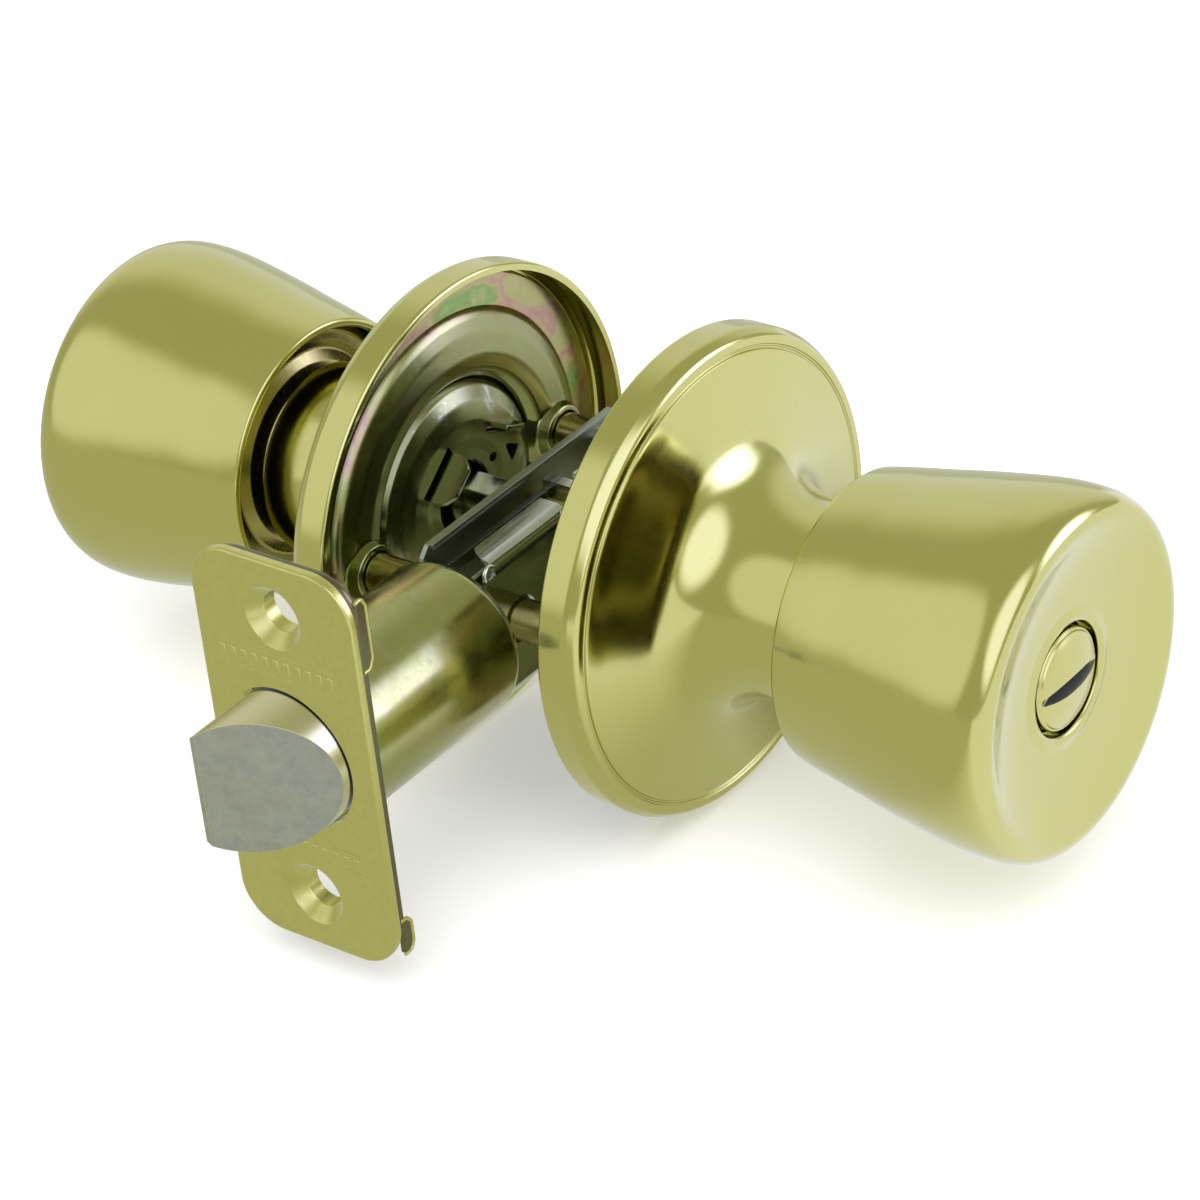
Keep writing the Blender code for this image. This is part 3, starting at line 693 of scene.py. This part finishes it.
def lock_button(name, way, face):
    """Button face over a retaining flange and a stem slotted for the lock bar."""
    flange = [(8.1, BUTTON_SEAT, 0.2), (8.1, 70.6, 0.2)]
    stem = [(STEM_RADIUS, 70.6), (STEM_RADIUS, STEM_END, 0.4), (0, STEM_END)]
    loop = face + flange + stem
    s = 1 if way == "+X" else -1
    obj = spin(name + "_shape", soften(loop, False, 4), False, way, MEDIUM)
    low, high = sorted((s * 49.5, s * 58.0))
    cut(obj, block(name + "_bar_slot", (low, -2.45, -0.65), (high, 2.45, 0.65)))
    return obj


def emergency_button():
    dome = [(0, 76.0), (2.0, 75.92), (3.9, 75.66), (5.4, 75.28), (6.25, 74.95)]
    rim = [(6.42, 74.7, 0.1), (6.66, 74.66, 0.12), (BUTTON_RADIUS, 74.45, 0.12), (BUTTON_RADIUS, BUTTON_SEAT)]
    obj = lock_button("emergency_button", "+X", through(dome, 5) + rim)
    # a coin slot with a curved floor: its edge line is a lens on the dome
    slot_floor = 74.0
    disc_radius = 21.0
    flank = [(disc_radius - 2.6, -1.35), (disc_radius - 0.1, -0.42), (disc_radius, -0.2)]
    half_edge = [(0, -1.35)] + flank
    edge = half_edge + [(r, -h) for r, h in reversed(half_edge)]
    disc = spin("coin_disc", edge, False, "+X", 360)
    disc.matrix_world = Matrix.Translation(Vector((slot_floor + disc_radius, 0, 0)) * MM)
    cut(obj, disc)

    # The slot's walls take the dark steel: painted shade in the recess of the brass button
    def in_slot(face):
        x, y, z = (v / MM for v in face.center)
        return x > 73.5 and abs(face.normal.z) > 0.5 and math.hypot(y, z) < 6.3

    name = "emergency_button"
    show(obj, name + "_fine", name, BRASS_BUTTON, second=SLOT_PAINTED_SHADE, picks=in_slot)


def turn_button():
    front = [(0, 76.0), (5.8, 76.0, 0.5), (6.3, 75.6, 0.3)]
    base = front + [(BUTTON_RADIUS, 75.4, 0.2), (BUTTON_RADIUS, BUTTON_SEAT)]
    obj = lock_button("turn_button", "-X", base)
    outline = soften(
        [
            (-6.0, 75.6), (6.0, 75.6), (6.6, 79.5, 1.5), (6.3, 83.0, 3.0), (4.9, 85.4, 2.2),
            (-4.9, 85.4, 2.2), (-6.3, 83.0, 3.0), (-6.6, 79.5, 1.5),
        ],
        True,
    )
    grip = plate("turn_grip", outline, (0, 1.7, 0), (0, 0, 1), (-1, 0, 0), 3.4)
    bevel(grip, 0.9, 4)
    join(obj, grip)
    show(obj, "turn_button_fine", "turn_button", BRASS_BUTTON)


def mounting_plate(side):
    way = SIDES[side][0]
    profile = soften(
        [
            (12.0, 30.0), (12.0, 25.6, 0.6), (17.3, 25.6, 0.6), (17.3, 21.7, 0.8),
            (18.2, 20.8, 1.2), (20.2, 20.35, 2.5), (23.0, 20.45, 2.5), (25.2, 21.2, 1.6),
            (25.9, 22.2, 0.5), (30.8, 22.2),
        ],
        False,
    )
    obj = spin(side + "_plate_shape", profile, False, way, wall=STEEL_SHEET)
    boss = soften([(0, 21.3), (5.8, 21.3), (4.3, 20.2, 1.0), (3.75, 18.4, 0.4), (0, 18.4)], False)
    for label, y in POSTS:
        join(obj, spin(f"{side}_boss_{label}", boss, False, way, COARSE, (0, y, 0)))
        cut(obj, cylinder(f"{side}_plate_hole_{label}", 3.1, 16.0, 24.0, way, (0, y, 0)))
    show(obj, side + "_mounting_plate_fine", side + "_mounting_plate", ZINC_PLATE)


def bent_tab(cap, name, outline, slit, root, along, outward, thick, step, edge):
    """A tab pressed out of the cap, with the slit that it leaves beside it."""
    piece = plate(name, outline, root, along, outward, thick)
    bevel(piece, edge, 2)
    beside = root - along.cross(outward) * step
    cut(cap, plate(name + "_slit", slit, beside, along, outward, thick))
    join(cap, piece)


def slit_outline(low, high):
    """Rectangle that cuts through the cap's face, from low to high along the slit."""
    return [(low, 18.0), (high, 18.0), (high, 22.0), (low, 22.0)]


def spring_cap(side):
    way, s = SIDES[side]
    profile = soften(
        [
            (16.2, 23.6), (16.2, 21.8, 0.5), (15.5, 20.9, 1.0), (13.6, 19.95, 2.2),
            (11.0, 19.65, 3.0), (8.4, 19.6, 1.0), (7.0, 19.85, 0.8), (5.4, 19.85),
        ],
        False,
    )
    obj = spin(side + "_cap_shape", profile, False, way, wall=STEEL_SHEET)
    flip = -s
    outward = Vector((s, 0, 0))
    tongue = [
        (-3.8, 20.4), (3.8, 20.4), (3.8, 17.2, 1.6), (2.0, 15.7, 1.2), (-2.2, 15.7, 1.2),
        (-3.8, 17.4, 1.2),
    ]
    along = Vector((0, -6.0 * flip, -4.7)).normalized()
    root = Vector((0, -5.0 * flip, 6.15))
    slit = slit_outline(-3.9, 3.9)
    bent_tab(obj, side + "_tongue", soften(tongue, True), slit, root, along, outward, 0.9, 0.85, 0.18)
    tab = [(-2.6, 20.4), (2.6, 20.4), (2.6, 17.6, 0.5), (-2.0, 17.0, 0.5)]
    along = Vector((0, 7.0 * flip, -3.15)).normalized()
    root = Vector((0, 9.0 * flip, 6.6))
    slit = slit_outline(-3.4, 2.4)
    bent_tab(obj, side + "_tab", soften(tab, True), slit, root, along, outward, 0.8, 0.75, 0.15)
    window = soften([(flip * 9.1, 3.9, 0.3), (flip * 12.3, 2.2, 0.3), (flip * 10.2, 0.4, 0.3)], True, 3)
    low = min(s * 18.5, s * 21.5)
    cut(obj, plate(side + "_cap_window", window, (low, 0, 0), (0, 1, 0), (0, 0, 1), 3.0))
    cut(obj, cylinder(side + "_cap_hole", 0.7, 18.5, 21.5, way, (0, 6.6 * flip, 3.0)))
    show(obj, side + "_spring_cap_fine", side + "_spring_cap", ZINC_CAP)


def coil(name, node, radius, gauge, axis, start, length, turns, material):
    count = int(turns * MEDIUM)
    points = []
    for i in range(count + 1):
        t = TAU * i / MEDIUM
        run = start + length * i / count
        a = radius * math.cos(t)
        b = radius * math.sin(t)
        points.append((run, a, b) if axis == "X" else (a, run, b))
    show(wire(name, points, gauge), name + "_fine", node, material)


def torsion_spring(side):
    s = SIDES[side][1]
    name = side + "_torsion_spring"
    coil(name, name, 13.6, 0.8, "X", s * 21.95, s * 1.9, 1.1, SPRING)


def mounting_post(place, y):
    loop = soften(
        [
            (0, 22.0), (3.3, 22.0, 0.3), (3.3, 21.3, 0.1), (2.8, 21.3, 0.1),
            (2.8, -18.6, 0.35), (1.9, -18.6, 0.2), (1.9, 8.0), (0, 9.0),
        ],
        False,
        4,
    )
    obj = spin("post_shape_" + place, loop, False, "+X", COARSE, (0, y, 0))
    show(obj, f"ext_post_{place}_fine", "ext_post_" + place, ZINC_INSERT)


def mounting_screw(place, y):
    crest = 1.6
    root = 1.3
    pitch = 0.7
    thread_end = -4.6
    thread = []
    h = 2.0
    while h > thread_end:
        thread += [(crest, h), (crest, h - pitch * 0.2), (root, h - pitch * 0.5), (root, h - pitch * 0.6)]
        h -= pitch
    dome = [(0, 23.6), (1.6, 23.55), (2.7, 23.2, 0.8), (3.3, 22.5, 0.4), (3.3, 21.4, 0.2)]
    head = soften(dome + [(crest, 21.4)], False)
    loop = head + thread + [(1.2, -5.2), (0, -5.6)]
    obj = spin("screw_shape_" + place, loop, False, "-X", COARSE, (0, y, 0))
    for label, half_y, half_z in (("upright", 0.5, 2.1), ("level", 2.1, 0.5)):
        low = (-26, y - half_y, -half_z)
        high = (-22.3, y + half_y, half_z)
        cut(obj, block(f"screw_cross_{place}_{label}", low, high))
    show(obj, f"int_screw_{place}_fine", "int_screw_" + place, STEEL_X)


# ---------------------------------------------------------------- spindle
def spindle_and_bar():
    section = circle_with_flat(SPINDLE_RADIUS, SPINDLE_FLAT)
    obj = plate("spindle_shape", section, (-31.5, 0, 0), (0, 0, -1), (0, 1, 0), 63.0)
    bevel(obj, 0.3, 2)
    cut(obj, cylinder("spindle_bore", 2.7, -40, 40, "+X"))
    show(obj, "spindle_fine", "spindle", STEEL_X)
    bar = block("bar_shape", (-57.5, -2.3, -0.5), (57.5, 2.3, 0.5))
    bevel(bar, 0.2, 3)
    show(bar, "lock_bar_fine", "lock_bar", STEEL_X)


# ---------------------------------------------------------------- latch
def bolt_section(extra):
    return circle_with_flat(BOLT_RADIUS + extra, BOLT_FLAT - extra, BOLT_OFFSET)


def bolt_opening(name, y):
    """Cutter for the opening that the bolt slides through, from y towards the door's edge."""
    return plate(name, bolt_section(BOLT_GAP), (0, y, 0), (1, 0, 0), (0, 0, 1), 8.0)


def ribbed_band(obj, place, low, high):
    """Plain raised band: two fine lines with a row of blank ribs between them."""
    top = FRONT - 0.16
    root = FRONT + 0.3
    for label, z in (("top", high - 0.15), ("bottom", low + 0.15)):
        line = block(f"band_line_{place}_{label}", (-9.9, top, z - 0.15), (8.9, root, z + 0.15))
        join(obj, bevel(line, 0.1, 2))
    top = FRONT - 0.18
    for i in range(11):
        x = -9.1 + i * 1.72
        rib = block(f"band_rib_{place}_{i}", (x - 0.42, top, low + 0.75), (x + 0.42, root, high - 0.75))
        join(obj, bevel(rib, 0.16, 3))


def faceplate():
    back = FRONT + PLATE_THICK
    outline = rounded_rectangle(PLATE_HALF_WIDTH, PLATE_HALF_HEIGHT, PLATE_CORNER)
    obj = plate("faceplate_shape", outline, (0, back, 0), (1, 0, 0), (0, 0, 1), PLATE_THICK)
    bevel(obj, 0.42, 4)
    ribbed_band(obj, "upper", 11.7, 15.2)
    ribbed_band(obj, "lower", -14.85, -11.75)
    cone = soften([(0, -59.3), (5.0, -59.3), (4.5, -58.9, 0.5), (3.5, -56.4, 0.15), (0, -56.4)], False)
    sink = soften(
        [
            (0, -61.3), (5.0, -61.3), (5.0, FRONT), (4.45, FRONT, 0.45), (2.85, -58.4, 0.4),
            (2.75, -55.0), (0, -55.0),
        ],
        False,
    )
    for place, z in SCREW_HOLES:
        join(obj, spin("drawn_" + place, cone, False, "+Y", MEDIUM, (0, 0, z)))
    for place, z in SCREW_HOLES:
        cut(obj, spin("sink_" + place, sink, False, "+Y", MEDIUM - 8, (0, 0, z)))
    cut(obj, bolt_opening("opening", back + 4))
    show(obj, "faceplate_fine", "faceplate", BRASS_FLAT, math.radians(28))


# Ears bent back from the backing plate's long edges, as outlines along Y and Z
EARS = {
    "upper": [
        (-58.2, 25.0), (-57.0, 25.2, 0.8), (-56.4, 24.0, 0.8), (-56.4, 16.6, 0.8),
        (-57.1, 15.2, 0.6), (-58.2, 15.2),
    ],
    "lower": [
        (-58.2, -27.0), (-56.9, -27.0, 0.8), (-56.3, -25.8, 0.7), (-56.3, -22.9, 0.7),
        (-57.1, -22.0, 0.5), (-58.2, -22.0),
    ],
}


def backing_plate():
    thick = 1.0
    outline = rounded_rectangle(BACKING_HALF_WIDTH, 27.9, 5.8)
    obj = plate("backing_shape", outline, (0, BACKING_FRONT + thick, 0), (1, 0, 0), (0, 0, 1), thick)
    bevel(obj, 0.2, 2)
    for place, outline in EARS.items():
        for hand, x in (("left", -BACKING_HALF_WIDTH), ("right", BACKING_HALF_WIDTH - STEEL_SHEET)):
            flat = soften(outline, True)
            ear = plate(f"ear_{place}_{hand}", flat, (x, 0, 0), (0, 1, 0), (0, 0, 1), STEEL_SHEET)
            join(obj, bevel(ear, 0.25, 3))
    for place, z in SCREW_HOLES:
        cut(obj, cylinder("backing_hole_" + place, 5.0, -62, -52, "+Y", (0, 0, z), MEDIUM))
    cut(obj, bolt_opening("backing_opening", BACKING_FRONT + 4))
    # The backing plate and its ears take the darkened zinc: painted shade
    show(obj, "backing_plate_fine", "backing_plate", BACKING_PAINTED_SHADE)
    for place, outline in EARS.items():
        for hand, sign in (("left", -1), ("right", 1)):
            ear_curl(place, hand, outline, sign * (BACKING_HALF_WIDTH - 0.05))


def ear_curl(place, hand, outline, x):
    """Rounded edge that runs round an ear, in the faceplate's bright brass: a painted highlight on the steel
    ear's rolled edge.
    """
    points = [(x, y, z) for y, z in soften(outline, False)]
    name = f"ear_curl_{place}_{hand}"
    show(wire(name, points, 0.24), name, "backing_plate", BRASS_FLAT, stands=False)


def latch_tube():
    rear = [(9.2, -27.2), (10.0, -27.25, 0.6), (TUBE_RADIUS, -28.9, 1.8)]
    profile = soften(rear + [(TUBE_RADIUS, -57.2)], False, 8)
    obj = spin("tube_shape", profile, False, "+Y", wall=STEEL_SHEET)
    show(obj, "latch_tube_fine", "latch_tube", ZINC_TUBE)


def latch_bolt():
    tip = FRONT - THROW
    rear = -51.5
    slope_start = -5.4
    slope_end = 9.6
    slope_rear = FRONT - 0.6
    obj = plate("bolt_shape", bolt_section(0), (0, rear, 0), (1, 0, 0), (0, 0, 1), rear - tip)
    slope = [(slope_start, tip), (slope_end, slope_rear), (slope_end, tip - 4), (slope_start, tip - 4)]
    cut(obj, plate("bolt_slope", slope, (0, 0, -14), (1, 0, 0), (0, 1, 0), 28))
    bevel(obj, 0.22, 3)
    cut(obj, cylinder("bolt_bore", 5.8, -59.8, -45, "+Y"))
    run = Vector((slope_end - slope_start, slope_rear - tip, 0)).normalized()
    normal = Vector((run.y, -run.x, 0))

    def bare(face):
        """The slope and the blunt tip are not plated."""
        return face.normal.dot(normal) > 0.985 or face.normal.y < -0.98

    show(obj, "latch_bolt_fine", "latch_bolt", BRASS_BOLT, second=SINTERED, picks=bare)


def bolt_spring():
    """Drawn as short as the pulled-back bolt leaves it, so that it never comes through the slope."""
    start = -47.9
    length = 7.4
    turns = 5.0
    coil("bolt_spring", "bolt_spring", 4.5, 0.6, "Y", start, length, turns, SPRING)


def retractor():
    """A web behind the bolt's rod, with two strips above and below that hook over the hub's ears."""
    half_width = 3.0
    rear = -36.2
    obj = block("retractor_shape", (-half_width, rear - 2.0, -8.0), (half_width, rear, 8.0))
    cut(obj, cylinder("retractor_hole", 2.0, -40, -34, "+Y"))
    for place, sign in UP_DOWN:
        z0, z1 = sorted((sign * 6.3, sign * 8.0))
        for hand, x in (("left", -half_width), ("right", half_width - STEEL_SHEET)):
            strip = block(f"strip_{place}_{hand}", (x, rear - 0.3, z0), (x + STEEL_SHEET, -1.7, z1))
            join(obj, strip)
        z0, z1 = sorted((sign * 7.0, sign * 9.4))
        join(obj, block("cross_hook_" + place, (-2.95, -3.5, z0), (2.95, -1.75, z1)))
    bevel(obj, 0.18, 2)
    show(obj, "retractor_fine", "retractor", STEEL_Y)


def latch_hub():
    """Turned hub on the spindle, with two ears that push the retractor's hooks."""
    profile = soften([(0, 5.9), (5.9, 5.9, 0.4), (5.9, -5.9, 0.4), (0, -5.9)], False, 3)
    obj = spin("hub_shape", profile, False, "+X", MEDIUM)
    ear = soften([(-1.1, 3.0), (1.1, 3.0), (1.1, 8.9, 0.5), (0, 9.4, 0.4), (-1.1, 8.9, 0.5)], True, 3)
    ear_width = 3.2
    tilt = math.radians(37.5)
    for place, sign in UP_DOWN:
        radial = Vector((0, -math.sin(tilt), sign * math.cos(tilt)))
        across = Vector((0, math.cos(tilt), sign * math.sin(tilt)))
        start = Vector((-ear_width / 2 if across.cross(radial).x > 0 else ear_width / 2, 0, 0))
        join(obj, bevel(plate("hub_ear_" + place, ear, start, across, radial, ear_width), 0.2, 2))
    play = 0.15
    hole = circle_with_flat(SPINDLE_RADIUS + play, SPINDLE_FLAT - play)
    cut(obj, plate("hub_bore", hole, (-8, 0, 0), (0, 0, -1), (0, 1, 0), 16))
    show(obj, "latch_hub_fine", "latch_hub", ZINC_INSERT)


# Where both case sides step out from the neck that enters the tube, as Y and Z
CASE_STEP = [(-26.6, CASE_NECK), (-26.6, 9.2)]
CASE_STEP_END = -25.2


def case_cuts(obj, name):
    cut(obj, cylinder(name + "_hub_hole", 6.25, -8, 8, "+X", segments=MEDIUM))
    cut(obj, cylinder(name + "_post_hole", 3.3, -8, 8, "+X", (0, -POST_Y, 0)))


def case_left():
    corners = [(CASE_FRONT, CASE_NECK)] + CASE_STEP
    corners += [(CASE_STEP_END, CASE_HALF_HEIGHT), (CASE_REAR, CASE_HALF_HEIGHT)]
    outline = corners + [(y, -z) for y, z in reversed(corners)]
    outside = (-CASE_HALF_WIDTH, 0, 0)
    obj = plate("case_left_shape", outline, outside, (0, 1, 0), (0, 0, 1), STEEL_SHEET)
    bevel(obj, 0.15, 2)
    for place, z in (("upper", CASE_HALF_HEIGHT - STEEL_SHEET), ("lower", -CASE_HALF_HEIGHT)):
        low = (-CASE_HALF_WIDTH, -25.0, z)
        rail = block("case_rail_" + place, low, (-4.2, CASE_REAR, z + STEEL_SHEET))
        join(obj, bevel(rail, 0.15, 2))
    case_cuts(obj, "case_left")
    # The left side takes the darker steel: painted shade on the case's flat side
    show(obj, "case_left_fine", "case_left", CASE_PAINTED_SHADE)


def channel(edge, half_width, half_height, radius):
    """Section of a channel whose flanges end at edge."""
    upper = [(edge, half_height), (half_width, half_height, radius)]
    lower = [(half_width, -half_height, radius), (edge, -half_height)]
    return soften(upper + lower, False, 8)


def case_right():
    """Pressed channel: a side with rounded shoulders and flat flanges, open over the hub's ears."""
    edge = 1.0
    outer = channel(edge, CASE_HALF_WIDTH, CASE_HALF_HEIGHT, 2.0)
    inner = channel(edge, CASE_HALF_WIDTH - STEEL_SHEET, CASE_HALF_HEIGHT - STEEL_SHEET, 1.2)
    section = outer + inner[::-1]
    length = CASE_REAR - CASE_FRONT
    obj = plate("case_right_shape", section, (0, CASE_REAR, 0), (1, 0, 0), (0, 0, 1), length)
    corner = [(-32, CASE_NECK)] + CASE_STEP
    corner += [(CASE_STEP_END, 10.8), (CASE_STEP_END, 13), (-32, 13)]
    for place, sign in UP_DOWN:
        flipped = [(y, sign * z) for y, z in corner]
        cut(obj, plate("case_corner_" + place, flipped, (-8, 0, 0), (0, 1, 0), (0, 0, 1), 20))
        z0, z1 = sorted((sign * 8.0, sign * 12.0))
        cut(obj, block("flange_gap_" + place, (0, -9.0, z0), (4.9, -2.0, z1)))
    curve = [(x if x > edge else 0.2, y) for x, y in arc((4.6, -20.4), 4.4, -75, -180, 16)]
    nose = [(-0.5, -33.0), (6.5, -33.0), (6.5, -24.9)] + curve + [(-0.5, -20.4)]
    for place, z in (("upper", 8.6), ("lower", -12.6)):
        cut(obj, plate("flange_nose_" + place, nose, (0, 0, z), (1, 0, 0), (0, 1, 0), 4))
    bevel(obj, 0.12, 2)
    case_cuts(obj, "case_right")
    show(obj, "case_right_fine", "case_right", STEEL_Y)
    for label, y, way in (("front", -25.3, -1), ("middle", -9.1, 1)):
        case_curl("case_curl_" + label, y, way)


def case_curl(name, y, way):
    """Rounded end of a curled tab on the case's upper shoulder, in a brighter copy of the case's steel: a
    painted highlight on the curl.
    """
    points = [(5.0, y + way * a, 9.1 + b) for a, b in arc((0, 0), 0.9, -60, 200, 14)]
    show(wire(name, points, 0.38), name, "case_right", STEEL_PAINTED_HIGHLIGHT, stands=False)


for side in SIDES:
    rose(side)
    knob_shell(side)
    knob_insert(side)
    mounting_plate(side)
    spring_cap(side)
    torsion_spring(side)
emergency_button()
turn_button()
for place, y in POSTS:
    mounting_post(place, y)
    mounting_screw(place, y)
spindle_and_bar()
faceplate()
backing_plate()
latch_tube()
latch_bolt()
bolt_spring()
retractor()
latch_hub()
case_left()
case_right()

# The latch would show as a dark bar in the knob's side, which the photo does not have
LATCH_FRONT = ("faceplate", "backing_plate", "ear_curl", "latch_tube", "latch_bolt", "bolt_spring")


def hide_from_reflections(names):
    for piece in shown.objects:
        if piece.name.startswith(names):
            piece.visible_glossy = False


hide_from_reflections(LATCH_FRONT)

# Plain inner pieces keep their CAD shape
PLAIN = {
    "ext_spindle_plug": STEEL_X,
    "int_spindle_socket": STEEL_X,
    "ext_retaining_ring": SPRING,
    "int_retaining_ring": SPRING,
    "ext_return_driver": STEEL_X,
    "int_return_driver": STEEL_X,
    "ext_stem_guide": STEEL_X,
    "int_stem_guide": STEEL_X,
    "spring_seat": STEEL_Y,
    "bolt_rod": STEEL_Y,
    "case_pin_upper": STEEL_X,
    "case_pin_lower": STEEL_X,
}


def dress_plain_pieces():
    for node, material in PLAIN.items():
        obj = frame["nodes"][node]
        obj.data.materials.clear()
        obj.data.materials.append(material)


dress_plain_pieces()


# ---------------------------------------------------------------- light and floor
def key_light():
    """Large soft box above and in front, not seen in the metal."""
    data = bpy.data.lights.new("key_box", "AREA")
    data.size = 0.9
    data.energy = 6
    box = bpy.data.objects.new("key_box", data)
    scene.collection.objects.link(box)
    away = Vector((0.25, -0.35, 0.9))
    box.location = LOCK_CENTRE + away
    box.rotation_euler = (-away).to_track_quat("-Z", "Y").to_euler()
    box.visible_glossy = False


FLOOR_LIFT = 0.22
FLOOR_DROP = 33.5
# What the metal sees of the floor: a sweep across X and Y, and a shaded patch
SWEEP_ALONG = (0.95, 0.30)
SWEEP_SPAN = (0.035, 0.075)
SWEEP_LEVEL = (0.68, 1.18)
PATCH_CENTRE = (0.014, 0.045, 0)
PATCH_SPAN = (0.022, 0.042)
PATCH_LEVEL = (0.30, 1.0)


def floor_material():
    """Near white to the eye; in the metal it is a soft sweep, brighter towards the back."""
    n = Nodes("pale_floor")
    tone = n.span(n.noise(6, 2), 0.3, 0.7, 0.0, 0.5)
    n.link(n.mix(tone, (0.93, 0.93, 0.92, 1), (0.89, 0.89, 0.88, 1)), n.shader.inputs["Base Color"])
    n.shader.inputs["Roughness"].default_value = 0.7
    n.shader.inputs["Specular IOR Level"].default_value = 0.1
    split = n.add("ShaderNodeSeparateXYZ")
    n.link(n.add("ShaderNodeTexCoord").outputs["Object"], split.inputs[0])
    across = n.maths("MULTIPLY", split.outputs[0], SWEEP_ALONG[0])
    run = n.maths("ADD", across, n.maths("MULTIPLY", split.outputs[1], SWEEP_ALONG[1]))
    level = n.span(run, *SWEEP_SPAN, *SWEEP_LEVEL)
    gap = n.add("ShaderNodeVectorMath", operation="DISTANCE")
    n.link(n.add("ShaderNodeTexCoord").outputs["Object"], gap.inputs[0])
    gap.inputs[1].default_value = PATCH_CENTRE
    shade = n.span(gap.outputs["Value"], *PATCH_SPAN, *PATCH_LEVEL)
    level = n.maths("MULTIPLY", level, shade)
    glow = n.add("ShaderNodeEmission")
    n.link(level, glow.inputs["Strength"])
    n.link(n.cooled(level), glow.inputs["Color"])
    lift = n.add("ShaderNodeEmission", Strength=FLOOR_LIFT)
    seen = n.add("ShaderNodeAddShader")
    n.link(n.shader.outputs[0], seen.inputs[0])
    n.link(lift.outputs[0], seen.inputs[1])
    pick = n.add("ShaderNodeMixShader")
    ray = n.add("ShaderNodeLightPath")
    n.link(ray.outputs["Is Camera Ray"], pick.inputs[0])
    n.link(glow.outputs[0], pick.inputs[1])
    n.link(seen.outputs[0], pick.inputs[2])
    out = n.tree.nodes["Material Output"]
    n.link(pick.outputs[0], out.inputs["Surface"])
    return n.material


def lay_floor():
    mesh = bpy.data.meshes.new("floor")
    bm = bmesh.new()
    bmesh.ops.create_grid(bm, x_segments=4, y_segments=4, size=3.0)
    bm.to_mesh(mesh)
    bm.free()
    floor = bpy.data.objects.new("floor", mesh)
    scene.collection.objects.link(floor)
    floor.location = LOCK_CENTRE + Vector((0, 0, -FLOOR_DROP * MM))
    mesh.materials.append(floor_material())


# Soft boxes: azimuth from +X towards +Y, elevation, outer and inner angle, added level
WORLD_LEVEL = 0.60
WORLD_BOXES = [
    (125, 10, 50, 24, 0.34),
    (230, 30, 36, 24, 0.48),
    (333, 38, 38, 22, 1.15),
    (45, 22, 23, 3, 2.60),
    (40, 5, 17, 1, 1.60),
]


def studio_world():
    """A soft tent: even grey-white with soft boxes that fade towards their edges."""
    world = bpy.data.worlds.new("studio")
    scene.world = world
    world.use_nodes = True
    n = Nodes(tree=world.node_tree)
    direction = n.add("ShaderNodeTexCoord").outputs["Generated"]

    def box_light(azimuth, elevation, wide, tight, gain):
        a = math.radians(azimuth)
        e = math.radians(elevation)
        aim = (math.cos(a) * math.cos(e), math.sin(a) * math.cos(e), math.sin(e))
        dot = n.add("ShaderNodeVectorMath", operation="DOT_PRODUCT")
        n.link(direction, dot.inputs[0])
        dot.inputs[1].default_value = aim
        step = n.add("ShaderNodeMapRange", interpolation_type="SMOOTHSTEP")
        n.link(dot.outputs["Value"], step.inputs["Value"])
        step.inputs["From Min"].default_value = math.cos(math.radians(wide))
        step.inputs["From Max"].default_value = math.cos(math.radians(tight))
        step.inputs["To Max"].default_value = gain
        return step.outputs[0]

    level = WORLD_LEVEL
    for box in WORLD_BOXES:
        level = n.maths("ADD", box_light(*box), level)
    background = n.tree.nodes["Background"]
    n.link(level, background.inputs["Strength"])
    ray = n.add("ShaderNodeLightPath")
    n.link(n.mix(ray.outputs["Is Glossy Ray"], (1, 1, 1, 1), n.cooled(level)), background.inputs["Color"])


lay_floor()
studio_world()
key_light()

# Camera: 132 mm lens on a 36 mm frame, above and to the right of the faceplate, slightly rolled
CAMERA_AZ = math.radians(39.84)
CAMERA_EL = math.radians(31.78)
CAMERA_ROLL = math.radians(-6.405)
CAMERA_DISTANCE = 644.49
CAMERA_TARGET = Vector((-29.69, 36.45, -39.97))
LENS = 132.04
SHIFT = (0.0043, 0.00165)


def place_camera():
    azimuth_right = math.cos(CAMERA_AZ)
    azimuth_away = math.sin(CAMERA_AZ)
    level = math.cos(CAMERA_EL)
    away = Vector((azimuth_away * level, -azimuth_right * level, math.sin(CAMERA_EL)))
    right = Vector((azimuth_right, azimuth_away, 0))
    up = away.cross(right)
    tilted_right = right * math.cos(CAMERA_ROLL) + up * math.sin(CAMERA_ROLL)
    tilted_up = up * math.cos(CAMERA_ROLL) - right * math.sin(CAMERA_ROLL)
    data = bpy.data.cameras.new("camera")
    data.sensor_width = 36
    data.lens = LENS
    data.shift_x, data.shift_y = SHIFT
    data.clip_start = 0.01
    camera = bpy.data.objects.new("camera", data)
    scene.collection.objects.link(camera)
    pose = Matrix((tilted_right, tilted_up, away)).transposed().to_4x4()
    pose.translation = (CAMERA_TARGET + away * CAMERA_DISTANCE) * MM + LOCK_CENTRE
    camera.matrix_world = pose
    scene.camera = camera


place_camera()
scene.view_settings.view_transform = "Standard"

for obj in list(scratch.objects):
    bpy.data.objects.remove(obj, do_unlink=True)
bpy.data.collections.remove(scratch)
